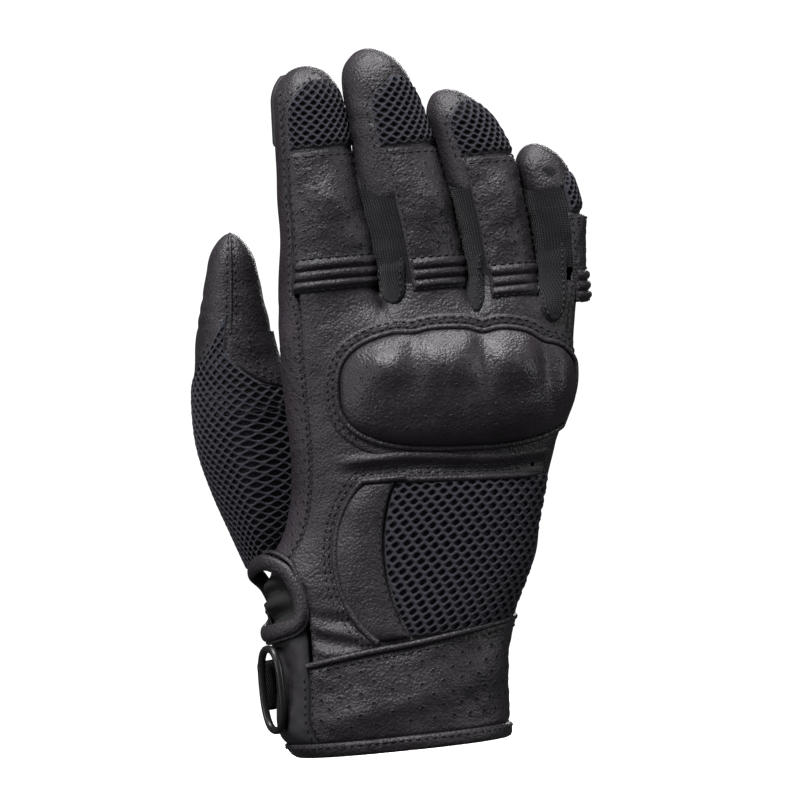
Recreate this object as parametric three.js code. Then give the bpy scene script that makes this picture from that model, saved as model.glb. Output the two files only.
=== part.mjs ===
// A right-hand motorcycle riding glove: leather shell, knit and mesh panels, armoured knuckles,
// short perforated cuff with a ring-and-strap closure.
// Millimetres. The origin is the middle of the wrist opening. +Z runs to the fingertips,
// -Y is the back of the hand, +Y the palm, -X the thumb side, +X the little finger side.

import * as THREE from "three";
import { mergeVertices } from "three/addons/utils/BufferGeometryUtils.js";

// ---- Driving dimensions ------------------------------------------------------------------
const LEATHER = 1.3; // thickness of the outer leather wall
const GAP = 0.4; // clearance between neighbouring pieces
const JOINT_GAP = 0.8; // clearance between two segments of a finger
const HEM_HEIGHT = 5;
const VENT = { angle: 157, z: 54.5, halfAngle: 26, halfHeight: 11 }; // notch above the cuff slit
const SLIT_ANGLE = 186; // the cuff is open here, from the hem up to the vent
const SLIT_FRONT = SLIT_ANGLE - 8; // angle where the strap panel and the hem binding end
const SLIT_PALM = SLIT_ANGLE + 3; // angle where the palm side starts
const STRAP = { low: 17, high: 34 };
const HAND_TOP = 161.6; // where the hand shell ends and the fingers start
const THUMB_ROOT = 73;
const THUMB_BASE = 136; // height of the thumb's base joint
const THUMB_JOINT = 158; // height of the thumb's tip joint
const WEB_SEAM = 122; // height where the thumb's mesh ends and its leather web starts
const HAND_ROUNDNESS = 2.5; // 2 is an ellipse, more is boxier
const THUMB_ROUNDNESS = 2.1;
const FINGER_ROUNDNESS = 2.2;

// Sections of each limb: [z, centre x, centre y, half width, half depth].
const HAND_SECTIONS = [
  [0, 1.9, 0, 36.8, 25],
  [8, -0.4, 0, 39.8, 24.8],
  [25, 0.1, 0, 40.4, 24],
  [42, 2.6, 0, 43.2, 21],
  [60, 5.5, 0, 48.5, 18.5],
  [80, 14.2, 0, 45.3, 17.5],
  [100, 19.5, 0, 46.5, 17.5],
  [120, 24, 0, 51, 17.5],
  [140, 24.8, 0, 51.7, 17],
  [160, 27.7, 0, 53.9, 15],
];
const THUMB_SECTIONS = [
  [66, -41, 10, 5, 8],
  [80, -41.4, 12, 9.5, 12],
  [95, -42.6, 14, 13.4, 15],
  [112, -44.4, 15, 15.5, 16.5],
  [127, -44.6, 15, 15.5, 16],
  [140, -43.8, 14.5, 14.6, 15],
  [152, -43.4, 13.5, 13.2, 13.5],
  [164, -42.4, 12.5, 10.8, 11.5],
  [186, -41, 10.5, 6.5, 8.5],
];

// A finger's back faces "turn" degrees towards the little finger. Its three hinges are at base, pip, dip.
const FINGERS = [
  {
    name: "index", turn: 17, base: 162, pip: 186, dip: 211, dome: 12,
    sections: [[160, -7.7, 0.5, 16.5, 13.5], [178, -8, 0.2, 15, 13], [200, -8.6, 0.8, 13.2, 12.2],
      [221, -8.8, 2.2, 12, 11.2], [241.5, -9, 4, 11, 9.8]],
  },
  {
    name: "middle", turn: 33, base: 162, pip: 185, dip: 211, dome: 13,
    sections: [[160, 26.3, -0.6, 13.2, 13.5], [185, 23.1, -0.2, 14.1, 13.2], [207, 19.3, 0.8, 13.5, 12.4],
      [228, 16.7, 2.2, 12, 11.2], [245.5, 13.8, 3.8, 10.8, 10]],
  },
  {
    name: "ring", turn: 31, base: 162, pip: 180, dip: 204, dome: 12,
    sections: [[160, 53, 0.6, 10.8, 12.6], [180, 51.6, 1.2, 10.9, 12.2], [205, 47.8, 2.4, 11.4, 11.4],
      [218, 43.6, 3.4, 10.4, 10.6], [228.5, 39.9, 4.4, 9.8, 9.6]],
  },
  {
    name: "little", turn: 62, base: 162, pip: 176, dip: 190, dome: 9.5,
    sections: [[160, 74.6, 4.6, 8.7, 10.4], [172, 74.4, 5, 8.9, 10.4], [189, 72.8, 6, 8.8, 10],
      [198, 71, 6.8, 8.2, 9.4], [206.5, 69, 7.6, 7.6, 8.6]],
  },
];

const GUARD = {
  x: 33.4, z: 123.5, halfWidth: 41, halfHeight: 20.5, tilt: 4, height: 10, lobes: 4, lift: 0.7,
};
const PAD = { top: 94, bottom: 43, leftArc: 27, bandWidth: 16, x: 12, height: 5.5 };
const RING = { angle: 161, z: 24.8, halfWidth: 7.5, halfHeight: 15.4, band: 2.2, standoff: 3.3 };

// ---- Small helpers -----------------------------------------------------------------------
const radians = THREE.MathUtils.degToRad;
const mix = THREE.MathUtils.lerp;
const ease = THREE.MathUtils.smoothstep;

// A signed power, for rounded-rectangle (superellipse) sections.
const power = (value, exponent) => Math.sign(value) * Math.abs(value) ** exponent;

// A smooth value between the rows of a section table, at height z.
function sectionAt(rows, z) {
  const last = rows.length - 2;
  let i = 0;
  while (i < last && z > rows[i + 1][0]) i += 1;
  const [low, high] = [rows[i], rows[i + 1]];
  const before = rows[Math.max(i - 1, 0)];
  const after = rows[Math.min(i + 2, rows.length - 1)];
  const span = high[0] - low[0];
  const t = THREE.MathUtils.clamp((z - low[0]) / span, 0, 1);
  return low.slice(1).map((value, k) => {
    const slopeLow = (span * (high[k + 1] - before[k + 1])) / (high[0] - before[0]);
    const slopeHigh = (span * (after[k + 1] - value)) / (after[0] - low[0]);
    const p0 = value * (1 + 2 * t) * (1 - t) ** 2;
    const p1 = high[k + 1] * t * t * (3 - 2 * t);
    return p0 + p1 + slopeLow * t * (1 - t) ** 2 + slopeHigh * t * t * (t - 1);
  });
}

// A limb's surface point: angle 0 faces the little finger, 90 the back, 180 the thumb, 270 the palm.
function limbPoint(rows, roundness, z, angle, offset, shrink = 1) {
  const [x, y, halfWidth, halfDepth] = sectionAt(rows, z);
  const bend = 2 / roundness;
  const across = power(Math.cos(radians(angle)), bend) * (halfWidth + offset) * shrink;
  const through = power(Math.sin(radians(angle)), bend) * (halfDepth + offset) * shrink;
  return [x + across, y - through, z];
}
const handPoint = (z, angle, offset) => limbPoint(HAND_SECTIONS, HAND_ROUNDNESS, z, angle, offset);
const thumbPoint = (z, angle, offset) => limbPoint(THUMB_SECTIONS, THUMB_ROUNDNESS, z, angle, offset);

// A closed solid from a sheet with thickness. at(u, v, side) gives a point: side 1 is the outer face.
// With closed true the sheet joins up in u. A row where all points meet becomes a pole.
function thickSheet(at, columns, rows, closed = false) {
  const positions = [];
  const vertex = (i, j, side) => at((closed ? i % columns : i) / columns, j / rows, side);
  const quad = (a, b, c, d) => positions.push(...a, ...b, ...c, ...a, ...c, ...d);
  for (let i = 0; i < columns; i += 1) {
    for (let j = 0; j < rows; j += 1) {
      quad(vertex(i, j, 1), vertex(i, j + 1, 1), vertex(i + 1, j + 1, 1), vertex(i + 1, j, 1));
      quad(vertex(i, j, 0), vertex(i + 1, j, 0), vertex(i + 1, j + 1, 0), vertex(i, j + 1, 0));
    }
    quad(vertex(i, 0, 1), vertex(i + 1, 0, 1), vertex(i + 1, 0, 0), vertex(i, 0, 0));
    quad(vertex(i, rows, 0), vertex(i + 1, rows, 0), vertex(i + 1, rows, 1), vertex(i, rows, 1));
  }
  for (let j = 0; j < rows && !closed; j += 1) {
    quad(vertex(0, j, 0), vertex(0, j + 1, 0), vertex(0, j + 1, 1), vertex(0, j, 1));
    quad(vertex(columns, j, 1), vertex(columns, j + 1, 1), vertex(columns, j + 1, 0), vertex(columns, j, 0));
  }
  return welded(positions);
}

// Joins shared vertices, drops the triangles that a pole has folded flat, and faces the rest outwards.
function welded(positions) {
  const soup = new THREE.BufferGeometry();
  soup.setAttribute("position", new THREE.Float32BufferAttribute(positions, 3));
  const merged = mergeVertices(soup, 1e-3);
  const corners = Array.from(merged.index.array);
  const kept = [];
  for (let i = 0; i < corners.length; i += 3) {
    const [a, b, c] = corners.slice(i, i + 3);
    if (a !== b && b !== c && a !== c) kept.push(a, b, c);
  }
  merged.setIndex(volume(merged, kept) > 0 ? kept : kept.reverse());
  merged.computeVertexNormals();
  return merged;
}

// The volume inside a closed set of triangles, negative where they face inwards.
function volume(geometry, corners) {
  const point = (i) => new THREE.Vector3().fromBufferAttribute(geometry.getAttribute("position"), corners[i]);
  let total = 0;
  for (let i = 0; i < corners.length; i += 3) total += point(i).dot(point(i + 1).cross(point(i + 2))) / 6;
  return total;
}

// ---- Materials and the group -------------------------------------------------------------
const group = new THREE.Group();
const LOOKS = {
  leather: { color: 0x2b2726, roughness: 0.5 },
  stripLeather: { color: 0x362f30, roughness: 0.55 },
  mesh: { color: 0x15161b, roughness: 0.85 },
  knit: { color: 0x121215, roughness: 0.9 },
  synthetic: { color: 0x17171a, roughness: 0.8 },
  plastic: { color: 0x121214, roughness: 0.4 },
  foam: { color: 0x3a3a3d, roughness: 0.95 },
};

function add(name, look, geometry) {
  const material = new THREE.MeshStandardMaterial({ ...LOOKS[look], metalness: 0 });
  const mesh = new THREE.Mesh(geometry, material);
  mesh.name = name;
  group.add(mesh);
}

// A wall of the hand between two angles and two edges. Angles and heights may be functions.
function handPanel(name, look, spec) {
  const value = (item, argument) => (typeof item === "function" ? item(argument) : item);
  const { inner = -LEATHER, outer = 0, columns = 10, rows = 8 } = spec;
  add(name, look, thickSheet((u, v, side) => {
    const guess = mix(value(spec.from, spec.middle), value(spec.to, spec.middle), u);
    const z = mix(value(spec.low, guess), value(spec.high, guess), v);
    const angle = mix(value(spec.from, z), value(spec.to, z), u);
    const crown = value(spec.crown ?? 0, { u, v });
    return handPoint(z, angle, side ? outer + crown : inner);
  }, columns, rows));
}

// The seam between hand and cuff rises towards the little finger.
const cuffSeam = (angle) => 35.4 + 5.8 * Math.cos(radians(angle));

// ---- Hand shell --------------------------------------------------------------------------
const STRIP_SEAM = 144; // angle of the seam between back panel and side strip
const THUMB_SEAM = 196; // angle where the side strip ends above the thumb
const PALM_SEAM = 236; // angle where the palm starts beside the thumb
const SIDE_SEAM = 18; // angle of the seam on the little finger side
const PALM_OUTER_SEAM = 342; // and between that side and the palm
const SEAM_STEP = 0.8; // angle left free between two neighbouring panels

function buildHand() {
  const low = (angle) => cuffSeam(angle) + GAP;
  const ventTop = VENT.z + VENT.halfHeight + 1.5;
  const ventSide = VENT.angle - VENT.halfAngle - 3;
  const backEdge = (z) => mix(ventSide, STRIP_SEAM, ease(z, ventTop - 3, ventTop + 3));
  const palmEdge = (z) => {
    const belowThumb = mix(SLIT_PALM, PALM_SEAM, ease(z, THUMB_ROOT - 20, THUMB_ROOT - 12));
    return mix(belowThumb, THUMB_SEAM + SEAM_STEP, ease(z, 130, 144));
  };
  handPanel("back_panel", "leather", {
    from: SIDE_SEAM, to: backEdge, low, high: HAND_TOP, middle: 40, columns: 12, rows: 12,
  });
  handPanel("side_strip", "stripLeather", {
    from: STRIP_SEAM + SEAM_STEP, to: THUMB_SEAM, low: ventTop + 3, high: HAND_TOP, middle: 90,
    columns: 5, rows: 9,
  });
  handPanel("palm_panel", "leather", {
    from: palmEdge, to: PALM_OUTER_SEAM, low, high: HAND_TOP, middle: 40, columns: 11, rows: 12,
  });
  handPanel("outer_side_panel", "knit", {
    from: PALM_OUTER_SEAM + SEAM_STEP, to: 360 + SIDE_SEAM - SEAM_STEP, low, high: HAND_TOP, middle: 40,
    columns: 4, rows: 9,
  });
  handPanel("palm_reinforcement", "leather", {
    from: 254, to: 322, low: 52, high: 96, middle: 70, inner: GAP, outer: GAP + 1.6, columns: 8, rows: 5,
    crown: ({ u, v }) => 1.6 * Math.sin(Math.PI * u) * Math.sin(Math.PI * v),
  });
}

// ---- Knuckle guard: foam, hard shell and leather cover, one over the other -----------------
function guardPoint(turn, reach, height) {
  const across = power(Math.cos(turn), 0.72) * GUARD.halfWidth * reach;
  const lobes = Math.sin(turn) > 0 ? 1.2 * Math.cos((across / GUARD.halfWidth) * GUARD.lobes * Math.PI) : 0;
  const up = power(Math.sin(turn), 0.72) * (GUARD.halfHeight - lobes) * reach;
  const tilt = radians(GUARD.tilt);
  const x = GUARD.x + across * Math.cos(tilt) + up * Math.sin(tilt);
  const z = GUARD.z - across * Math.sin(tilt) + up * Math.cos(tilt);
  return [x, backDepth(x, z) - height, z];
}

// How far forward the back of the hand is at a place, as a y value.
function backDepth(x, z) {
  const [centre, , halfWidth, halfDepth] = sectionAt(HAND_SECTIONS, z);
  const share = Math.min(Math.abs(x - centre) / halfWidth, 0.985);
  return -halfDepth * (1 - share ** HAND_ROUNDNESS) ** (1 / HAND_ROUNDNESS);
}

function guardLayer(name, look, size, from, to) {
  const dome = (reach) => (1 - reach ** 4) ** 0.75;
  add(name, look, thickSheet((u, v, side) => {
    const turn = -2 * Math.PI * u;
    const [edge, middle] = side ? to : from;
    return guardPoint(turn, v * size, mix(edge, middle, dome(v)));
  }, 24, 5, true));
}

function buildGuard() {
  const top = GUARD.height;
  guardLayer("knuckle_foam", "foam", 0.78, [GUARD.lift, GUARD.lift], [1.8, top - 4.8]);
  guardLayer("knuckle_shell", "plastic", 0.88, [GUARD.lift, top - 3.6], [2.4, top - 2]);
  guardLayer("knuckle_cover", "leather", 1, [GUARD.lift, top - 1.3], [2, top]);
}

// ---- Padded back panel: a leather crescent beside a mesh pad over foam ---------------------
const padLeft = (v) => PAD.x - PAD.leftArc * power(Math.sin(Math.PI * mix(0.12, 0.9, v)), 0.8);
const padBand = (v) => PAD.bandWidth * power(Math.sin(Math.PI * mix(0.14, 0.86, v)), 0.6);

function padLayer(name, look, left, right, from, to, margin) {
  const crown = (u, v) => power(Math.sin(Math.PI * mix(0.05, 0.95, v)), 0.5)
    * power(Math.sin(Math.PI * mix(0.05, 0.95, u)), 0.5);
  add(name, look, thickSheet((u, v, side) => {
    const z = mix(PAD.bottom + margin, PAD.top - margin, v);
    const x = mix(right(v), left(v), u);
    const [edge, middle] = side ? to : from;
    return [x, backDepth(x, z) - mix(edge, middle, crown(u, v)), z];
  }, 10, 8));
}

function buildPad() {
  const handEdge = (v) => {
    const [centre, , halfWidth] = sectionAt(HAND_SECTIONS, mix(PAD.bottom, PAD.top, v));
    return centre + halfWidth * 0.93;
  };
  const seam = (v) => padLeft(v) + padBand(v);
  const foamLeft = (v) => seam(v) + 2.5;
  const foamRight = (v) => handEdge(v) - 3;
  padLayer("pad_leather", "leather", padLeft, seam, [GAP, GAP], [1.8, PAD.height - 1.6], 0);
  padLayer("pad_foam", "foam", foamLeft, foamRight, [GAP, GAP], [1.2, PAD.height - 1.6], 3);
  padLayer("pad_mesh", "mesh", (v) => seam(v) + GAP, handEdge, [GAP + 1.2, PAD.height - 1.2],
    [GAP + 2.2, PAD.height], 0);
}

// ---- Tongues of knit between the fingers ---------------------------------------------------
function buildTongues() {
  const names = ["index_middle", "middle_ring", "ring_little"];
  const middles = [[15.7, 154.5], [42.8, 151.5], [67.4, 148]];
  middles.forEach(([x, low], k) => {
    add(`fourchette_${names[k]}`, "knit", thickSheet((u, v, side) => {
      const halfWidth = 3.9 * power(Math.sin(Math.PI * mix(0.12, 0.5, v)), 0.6);
      const z = mix(low, HAND_TOP - 0.4, v);
      const px = x + mix(1, -1, u) * halfWidth;
      return [px, backDepth(px, z) - GAP - (side ? 1.6 : 0), z];
    }, 4, 4));
  });
}

// ---- Fingers -------------------------------------------------------------------------------
const RIB_LENGTH = 9;
const BACK_HALF_ANGLE = 55; // the back panel spans this far each side of its middle
const PATCH_HALF_ANGLE = 52; // and the mesh patch over the fingertip this far
const PATCH_REACH = 0.6; // how much of the fingertip a patch covers, from its open edge to its end

function fingerPanel(finger, name, look, range, angles, columns, rows, bump = () => 0, lift = 0) {
  add(`${finger.name}_${name}`, look, thickSheet((u, v, side) => {
    const z = mix(range[0], range[1], v);
    const offset = side ? lift + bump(v) : lift - LEATHER;
    return limbPoint(finger.sections, FINGER_ROUNDNESS, z, mix(angles[0], angles[1], u), offset);
  }, columns, rows));
}

// The point of a fingertip's dome: v runs from the open edge to the pole.
function tipPoint(rows, roundness, low, top, dome, angle, v, offset) {
  const straight = 0.4;
  const start = top - dome;
  if (v < straight) return limbPoint(rows, roundness, mix(low, start, v / straight), angle, offset);
  const turn = (Math.PI / 2) * ((v - straight) / (1 - straight));
  const z = start + (dome + offset) * Math.sin(turn);
  return limbPoint(rows, roundness, z, angle, offset, v < 1 ? Math.cos(turn) : 0);
}

function buildFinger(finger) {
  const { sections, base, pip, dip, dome, turn } = finger;
  const half = JOINT_GAP / 2;
  const middle = 90 - turn;
  const back = [middle - BACK_HALF_ANGLE, middle + BACK_HALF_ANGLE];
  const under = [back[1] + 2, back[0] + 360 - 2];
  const ribTop = base + RIB_LENGTH;
  const ribs = (v) => 1.3 * Math.max(Math.sin(Math.PI * 2 * v) ** 2, 0);
  fingerPanel(finger, "flex_ribs", "leather", [base + half, ribTop], back, 6, 8, ribs);
  fingerPanel(finger, "proximal_back", "leather", [ribTop + GAP, pip - half], back, 6, 2);
  fingerPanel(finger, "proximal_underside", "knit", [base + half, pip - half], under, 9, 2);
  fingerPanel(finger, "middle_back", "leather", [pip + half, dip - half], back, 6, 2);
  fingerPanel(finger, "middle_underside", "knit", [pip + half, dip - half], under, 9, 2);

  const top = sections.at(-1)[0];
  add(`${finger.name}_tip`, "leather", thickSheet((u, v, side) => tipPoint(
    sections, FINGER_ROUNDNESS, dip + half, top, dome, 360 * u, v, side ? 0 : -LEATHER,
  ), 14, 5, true));
  const patch = [middle - PATCH_HALF_ANGLE, middle + PATCH_HALF_ANGLE];
  add(`${finger.name}_tip_mesh`, "mesh", thickSheet((u, v, side) => tipPoint(
    sections, FINGER_ROUNDNESS, dip + 2, top, dome, mix(patch[0], patch[1], u), v * PATCH_REACH,
    GAP + (side ? 1.2 : 0),
  ), 5, 3));
}

function buildTouchPad(finger) {
  const top = finger.sections.at(-1)[0];
  add("index_touch_pad", "synthetic", thickSheet((u, v, side) => tipPoint(
    finger.sections, FINGER_ROUNDNESS, finger.dip + 3, top, finger.dome, mix(172, 282, u), v * PATCH_REACH,
    GAP + (side ? 1 : 0),
  ), 5, 3));
}

// ---- Thumb ---------------------------------------------------------------------------------
// The gusset wraps the root of the thumb from the side strip (u 0) round to the palm (u 1).
function gussetPoint(u, z, offset) {
  const seamShare = 0.2;
  const body = thumbPoint(z, mix(48, 306, u), offset);
  const seam = handPoint(z, u < 0.5 ? THUMB_SEAM + 4 : PALM_SEAM - 1.5, 0);
  seam[1] += u < 0.5 ? -offset : offset;
  const near = 1 - ease(Math.min(u, 1 - u), 0, seamShare);
  const share = near * (1 - ease(z, THUMB_BASE - 16, THUMB_BASE));
  return body.map((value, k) => mix(value, seam[k], k < 2 ? share : 0));
}

function gussetPanel(name, look, from, to, low, high, rows) {
  add(name, look, thickSheet(
    (u, v, side) => gussetPoint(mix(from, to, u), mix(low, high, v), side ? 0 : -LEATHER), 9, rows,
  ));
}

function buildThumb() {
  const half = JOINT_GAP / 2;
  gussetPanel("thumb_mesh_gusset", "mesh", 0, 0.5, THUMB_ROOT, WEB_SEAM, 7);
  gussetPanel("thumb_web", "leather", 0, 0.5, WEB_SEAM + GAP, THUMB_BASE - half, 3);
  gussetPanel("thumb_palm_gusset", "leather", 0.503, 1, THUMB_ROOT, THUMB_BASE - half, 8);
  add("thumb_shell", "leather", thickSheet(
    (u, v, side) => thumbPoint(mix(THUMB_BASE + half, THUMB_JOINT - half, v), 360 * u, side ? 0 : -LEATHER),
    18, 3, true,
  ));
  const top = THUMB_SECTIONS.at(-1)[0];
  add("thumb_tip", "leather", thickSheet((u, v, side) => tipPoint(
    THUMB_SECTIONS, THUMB_ROUNDNESS, THUMB_JOINT + half, top, 11, 360 * u, v, side ? 0 : -LEATHER,
  ), 14, 5, true));
}

// ---- Cuff, vent and closure ----------------------------------------------------------------
function buildCuff() {
  const seamAngle = 130; // the leather band ends and the strap panel starts here
  const low = HEM_HEIGHT + GAP;
  const strapTop = VENT.z - VENT.halfHeight - 2.5;
  handPanel("cuff_band", "leather", {
    from: -16, to: seamAngle, low, high: cuffSeam, middle: 25, columns: 12, rows: 3,
  });
  handPanel("cuff_palm", "leather", {
    from: SLIT_PALM, to: 343, low, high: (angle) => cuffSeam(angle) - GAP, middle: 25,
    columns: 12, rows: 3,
  });
  handPanel("strap_panel", "synthetic", {
    from: seamAngle + 1, to: SLIT_FRONT, low, high: strapTop, middle: 25, columns: 5, rows: 3,
  });
  handPanel("hem_binding", "leather", {
    from: SLIT_PALM - 360, to: SLIT_FRONT, low: 0, high: HEM_HEIGHT, middle: 2,
    inner: -2.2, outer: 1, columns: 30, rows: 2,
  });
}

// A rolled binding all round the vent notch.
function buildVentPiping() {
  add("vent_piping", "leather", thickSheet((u, v, side) => {
    const turn = -2 * Math.PI * u;
    const reach = mix(-1.8, 1.8, v);
    const z = VENT.z + (VENT.halfHeight + reach) * Math.sin(turn);
    const angle = VENT.angle + (VENT.halfAngle + reach) * Math.cos(turn);
    return handPoint(z, angle, side ? 3 : GAP);
  }, 24, 2, true));
}

// A flat oval ring that lies tangent to the side of the cuff.
function buildRing() {
  const centre = new THREE.Vector3(...handPoint(RING.z, RING.angle, RING.standoff));
  const ahead = new THREE.Vector3(...handPoint(RING.z, RING.angle - 12, RING.standoff));
  const across = ahead.sub(centre).setZ(0).normalize();
  const outward = new THREE.Vector3(across.y, -across.x, 0);
  if (outward.x > 0) outward.negate();
  add("oval_ring", "plastic", thickSheet((u, v, side) => {
    const turn = 2 * Math.PI * u;
    const reach = mix(0, RING.band, v) - RING.band;
    const sideways = power(Math.cos(turn), 0.8) * (RING.halfWidth + reach);
    const up = power(Math.sin(turn), 0.8) * (RING.halfHeight + reach);
    const thick = side ? RING.band / 2 : -RING.band / 2;
    const point = centre.clone().addScaledVector(across, sideways).addScaledVector(outward, thick);
    return [point.x, point.y, RING.z + up];
  }, 24, 1, true));
}

// The strap comes from the palm, loops round the ring and is held back on itself by hook and loop.
function buildStrap() {
  const { low, high } = STRAP;
  const layer = (name, look, from, to, inner, outer, margin = 0) => handPanel(name, look, {
    from, to, low: low + margin, high: high - margin, middle: 25, inner, outer, columns: 9, rows: 1,
  });
  layer("closure_strap", "synthetic", SLIT_ANGLE + 4, 286, 0.7, 1.9);
  layer("loop_patch", "knit", 216, 282, 2.3, 3.1, 1.5);
  layer("hook_patch", "synthetic", 216, 280, 3.5, 4.3, 1.5);
  layer("strap_tab", "synthetic", SLIT_ANGLE + 4, 290, 4.7, 5.9);

  const [x, y] = handPoint(RING.z, SLIT_ANGLE + 1, 3.8);
  add("strap_loop", "synthetic", thickSheet((u, v, side) => {
    const turn = mix(Math.PI, 0, u);
    const radius = side ? 2.7 : 1.7;
    return [x - radius * Math.cos(turn), y - radius * Math.sin(turn) * 1.4, mix(low, high, v)];
  }, 8, 1));
}

buildHand();
buildGuard();
buildPad();
buildTongues();
FINGERS.forEach(buildFinger);
buildTouchPad(FINGERS[0]);
buildThumb();
buildCuff();
buildVentPiping();
buildRing();
buildStrap();

export default group;
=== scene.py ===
import math

import bmesh
import bpy
import numpy as np
from mathutils import Matrix, Vector
from mathutils.bvhtree import BVHTree


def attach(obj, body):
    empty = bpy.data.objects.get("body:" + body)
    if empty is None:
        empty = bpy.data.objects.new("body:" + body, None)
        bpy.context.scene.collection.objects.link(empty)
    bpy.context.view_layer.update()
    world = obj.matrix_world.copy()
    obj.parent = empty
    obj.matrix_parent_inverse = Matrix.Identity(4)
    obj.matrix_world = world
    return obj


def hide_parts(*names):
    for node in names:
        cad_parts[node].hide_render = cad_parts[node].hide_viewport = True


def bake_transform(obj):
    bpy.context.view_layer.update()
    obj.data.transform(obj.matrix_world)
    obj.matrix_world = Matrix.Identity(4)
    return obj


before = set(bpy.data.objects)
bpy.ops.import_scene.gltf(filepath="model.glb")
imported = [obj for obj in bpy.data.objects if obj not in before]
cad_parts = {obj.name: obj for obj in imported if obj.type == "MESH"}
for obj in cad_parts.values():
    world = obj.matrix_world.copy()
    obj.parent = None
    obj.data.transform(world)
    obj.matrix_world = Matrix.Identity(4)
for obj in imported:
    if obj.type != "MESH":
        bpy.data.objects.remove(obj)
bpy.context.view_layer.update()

# A right-hand motorcycle riding glove. Shapes are worked out in millimetres and written in metres.
# Surfaces take (height z, angle, offset): angle 0 faces the little finger, 90 the back of the hand,
# 180 the thumb, 270 the palm, as in the CAD model.

MM = 0.001

# ---- Driving dimensions, as in the CAD model ------------------------------------------------
WALL = 1.2
HEM_HEIGHT = 5.0
SLIT_ANGLE = 186  # the cuff is open here
SLIT_FRONT, SLIT_PALM = SLIT_ANGLE - 8, SLIT_ANGLE + 3  # where the two sides of the slit end
CUFF_SPLIT = 130  # angle where the cuff's leather ends and the strap's panel starts
STRIP_SEAM, THUMB_SEAM = 144, 196  # the angles that the side strip spans
PALM_SEAM, OUTER_SEAM = 236, 342  # and the palm
SIDE_SEAM = 18  # angle of the seam on the little finger side
HAND_TOP = 162
BACK_TOP = 162.5  # the back of the hand ends here, under the fingers' rib panels
SIDE_SPLIT = 150  # the side strip goes on above this as the index finger's side
THUMB_BASE = 136
THUMB_DOME = 11
STRAP = (17, 34)  # the strap's lower and upper edge
HAND_ROUNDNESS, THUMB_ROUNDNESS, FINGER_ROUNDNESS = 2.5, 2.1, 2.2  # 2 is an ellipse, more is boxier
VENT = dict(angle=157, z=54.5, half_angle=26, half_height=11)
RING = dict(angle=161, z=24.8, half_width=7.5, half_height=15.4, band=2.2, standoff=3.3)
GUARD = dict(x=33.4, z=123.5, half_width=41, half_height=20.5, tilt=math.radians(4), height=10)
PAD = dict(top=94, left_arc=27, band=16, x=12, height=5.2)

HAND_ROWS = [
    (0, 1.9, 0, 36.8, 25), (8, -0.4, 0, 39.8, 24.8), (25, 0.1, 0, 40.4, 24), (42, 2.6, 0, 43.2, 21),
    (60, 5.5, 0, 48.5, 18.5), (80, 14.2, 0, 45.3, 17.5), (100, 19.5, 0, 46.5, 17.5),
    (120, 24, 0, 51, 17.5), (140, 24.8, 0, 51.7, 17), (160, 27.7, 0, 53.9, 15),
]
THUMB_ROWS = [
    (66, -41, 10, 5, 8), (80, -41.4, 12, 9.5, 12), (95, -42.6, 14, 13.4, 15),
    (112, -44.4, 15, 15.5, 16.5), (127, -44.6, 15, 15.5, 16), (140, -43.8, 14.5, 14.6, 15),
    (152, -43.4, 13.5, 13.2, 13.5), (164, -42.4, 12.5, 10.8, 11.5), (186, -41, 10.5, 6.5, 8.5),
]
# base, pip and dip are the heights of a finger's hinges. back and patch are the angles that its back panel
# and mesh patch span, seam and patch_top the patch's ends, cap where the leather of the fingertip begins,
# and bulge how far its knit side swells towards the thumb.
FINGERS = [
    dict(name="index", base=162, pip=186, dip=211, dome=12, back=(14, 135), patch=(8, 129),
         seam=210.5, patch_top=234, cap=206, bulge=0, rows=[
             (160, -7.8, 0.5, 18, 13.5), (178, -6.8, 0.2, 16.4, 13), (200, -8, 0.8, 14, 12.2),
             (221, -8.5, 2.2, 12.5, 11.2), (241.5, -8.8, 4, 11.2, 9.8)]),
    dict(name="middle", base=162, pip=185, dip=211, dome=13, back=(6, 104), patch=(2, 108),
         seam=208.5, patch_top=234, cap=200, bulge=3.2, rows=[
             (160, 25.5, -0.6, 15.3, 13.5), (185, 23.3, -0.2, 15.1, 13.2), (207, 19.9, 0.8, 14.3, 12.4),
             (228, 16.8, 2.2, 12.5, 11.2), (245.5, 13.8, 3.8, 11, 10)]),
    dict(name="ring", base=162, pip=180, dip=204, dome=12, back=(6, 112), patch=(2, 114),
         seam=202.5, patch_top=221.5, cap=200, bulge=0.8, rows=[
             (160, 53.1, 0.6, 11.8, 12.6), (180, 51.5, 1.2, 12.1, 12.2), (205, 47.7, 2.4, 12.5, 11.4),
             (218, 43.6, 3.4, 11.2, 10.6), (228.5, 39.9, 4.4, 10, 9.6)]),
    dict(name="little", base=162, pip=176, dip=190, dome=9.5, back=(-38, 62), patch=(-40, 56),
         seam=180, patch_top=196, cap=197, bulge=0.6, rows=[
             (160, 73.7, 4.6, 8.8, 10.4), (172, 74, 5, 9.2, 10.4), (189, 72.5, 6, 9.2, 10),
             (198, 70.8, 6.8, 8.6, 9.4), (206.5, 69, 7.6, 7.8, 8.6)]),
]


# ---- Numbers and curves ---------------------------------------------------------------------
def ease(value, low, high):
    t = np.clip((value - low) / (high - low), 0, 1)
    return t * t * (3 - 2 * t)


def mix(a, b, t):
    return a + (b - a) * t


def power(value, exponent):
    return np.sign(value) * np.abs(value) ** exponent


def bell(value, middle, width):
    return np.exp(-(((value - middle) / width) ** 2))


def ripple(a, b, pitch, seed, waves=7):
    """A smooth random relief between -1 and 1 over two coordinates in millimetres."""
    draw = np.random.default_rng(seed)
    total = 0
    for _ in range(waves):
        heading = draw.uniform(0, math.tau)
        length = pitch * draw.uniform(0.7, 1.8)
        phase = draw.uniform(0, math.tau)
        along = a * math.cos(heading) + b * math.sin(heading)
        total = total + np.sin(along * math.tau / length + phase)
    return total / waves ** 0.5 / 1.6


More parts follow.
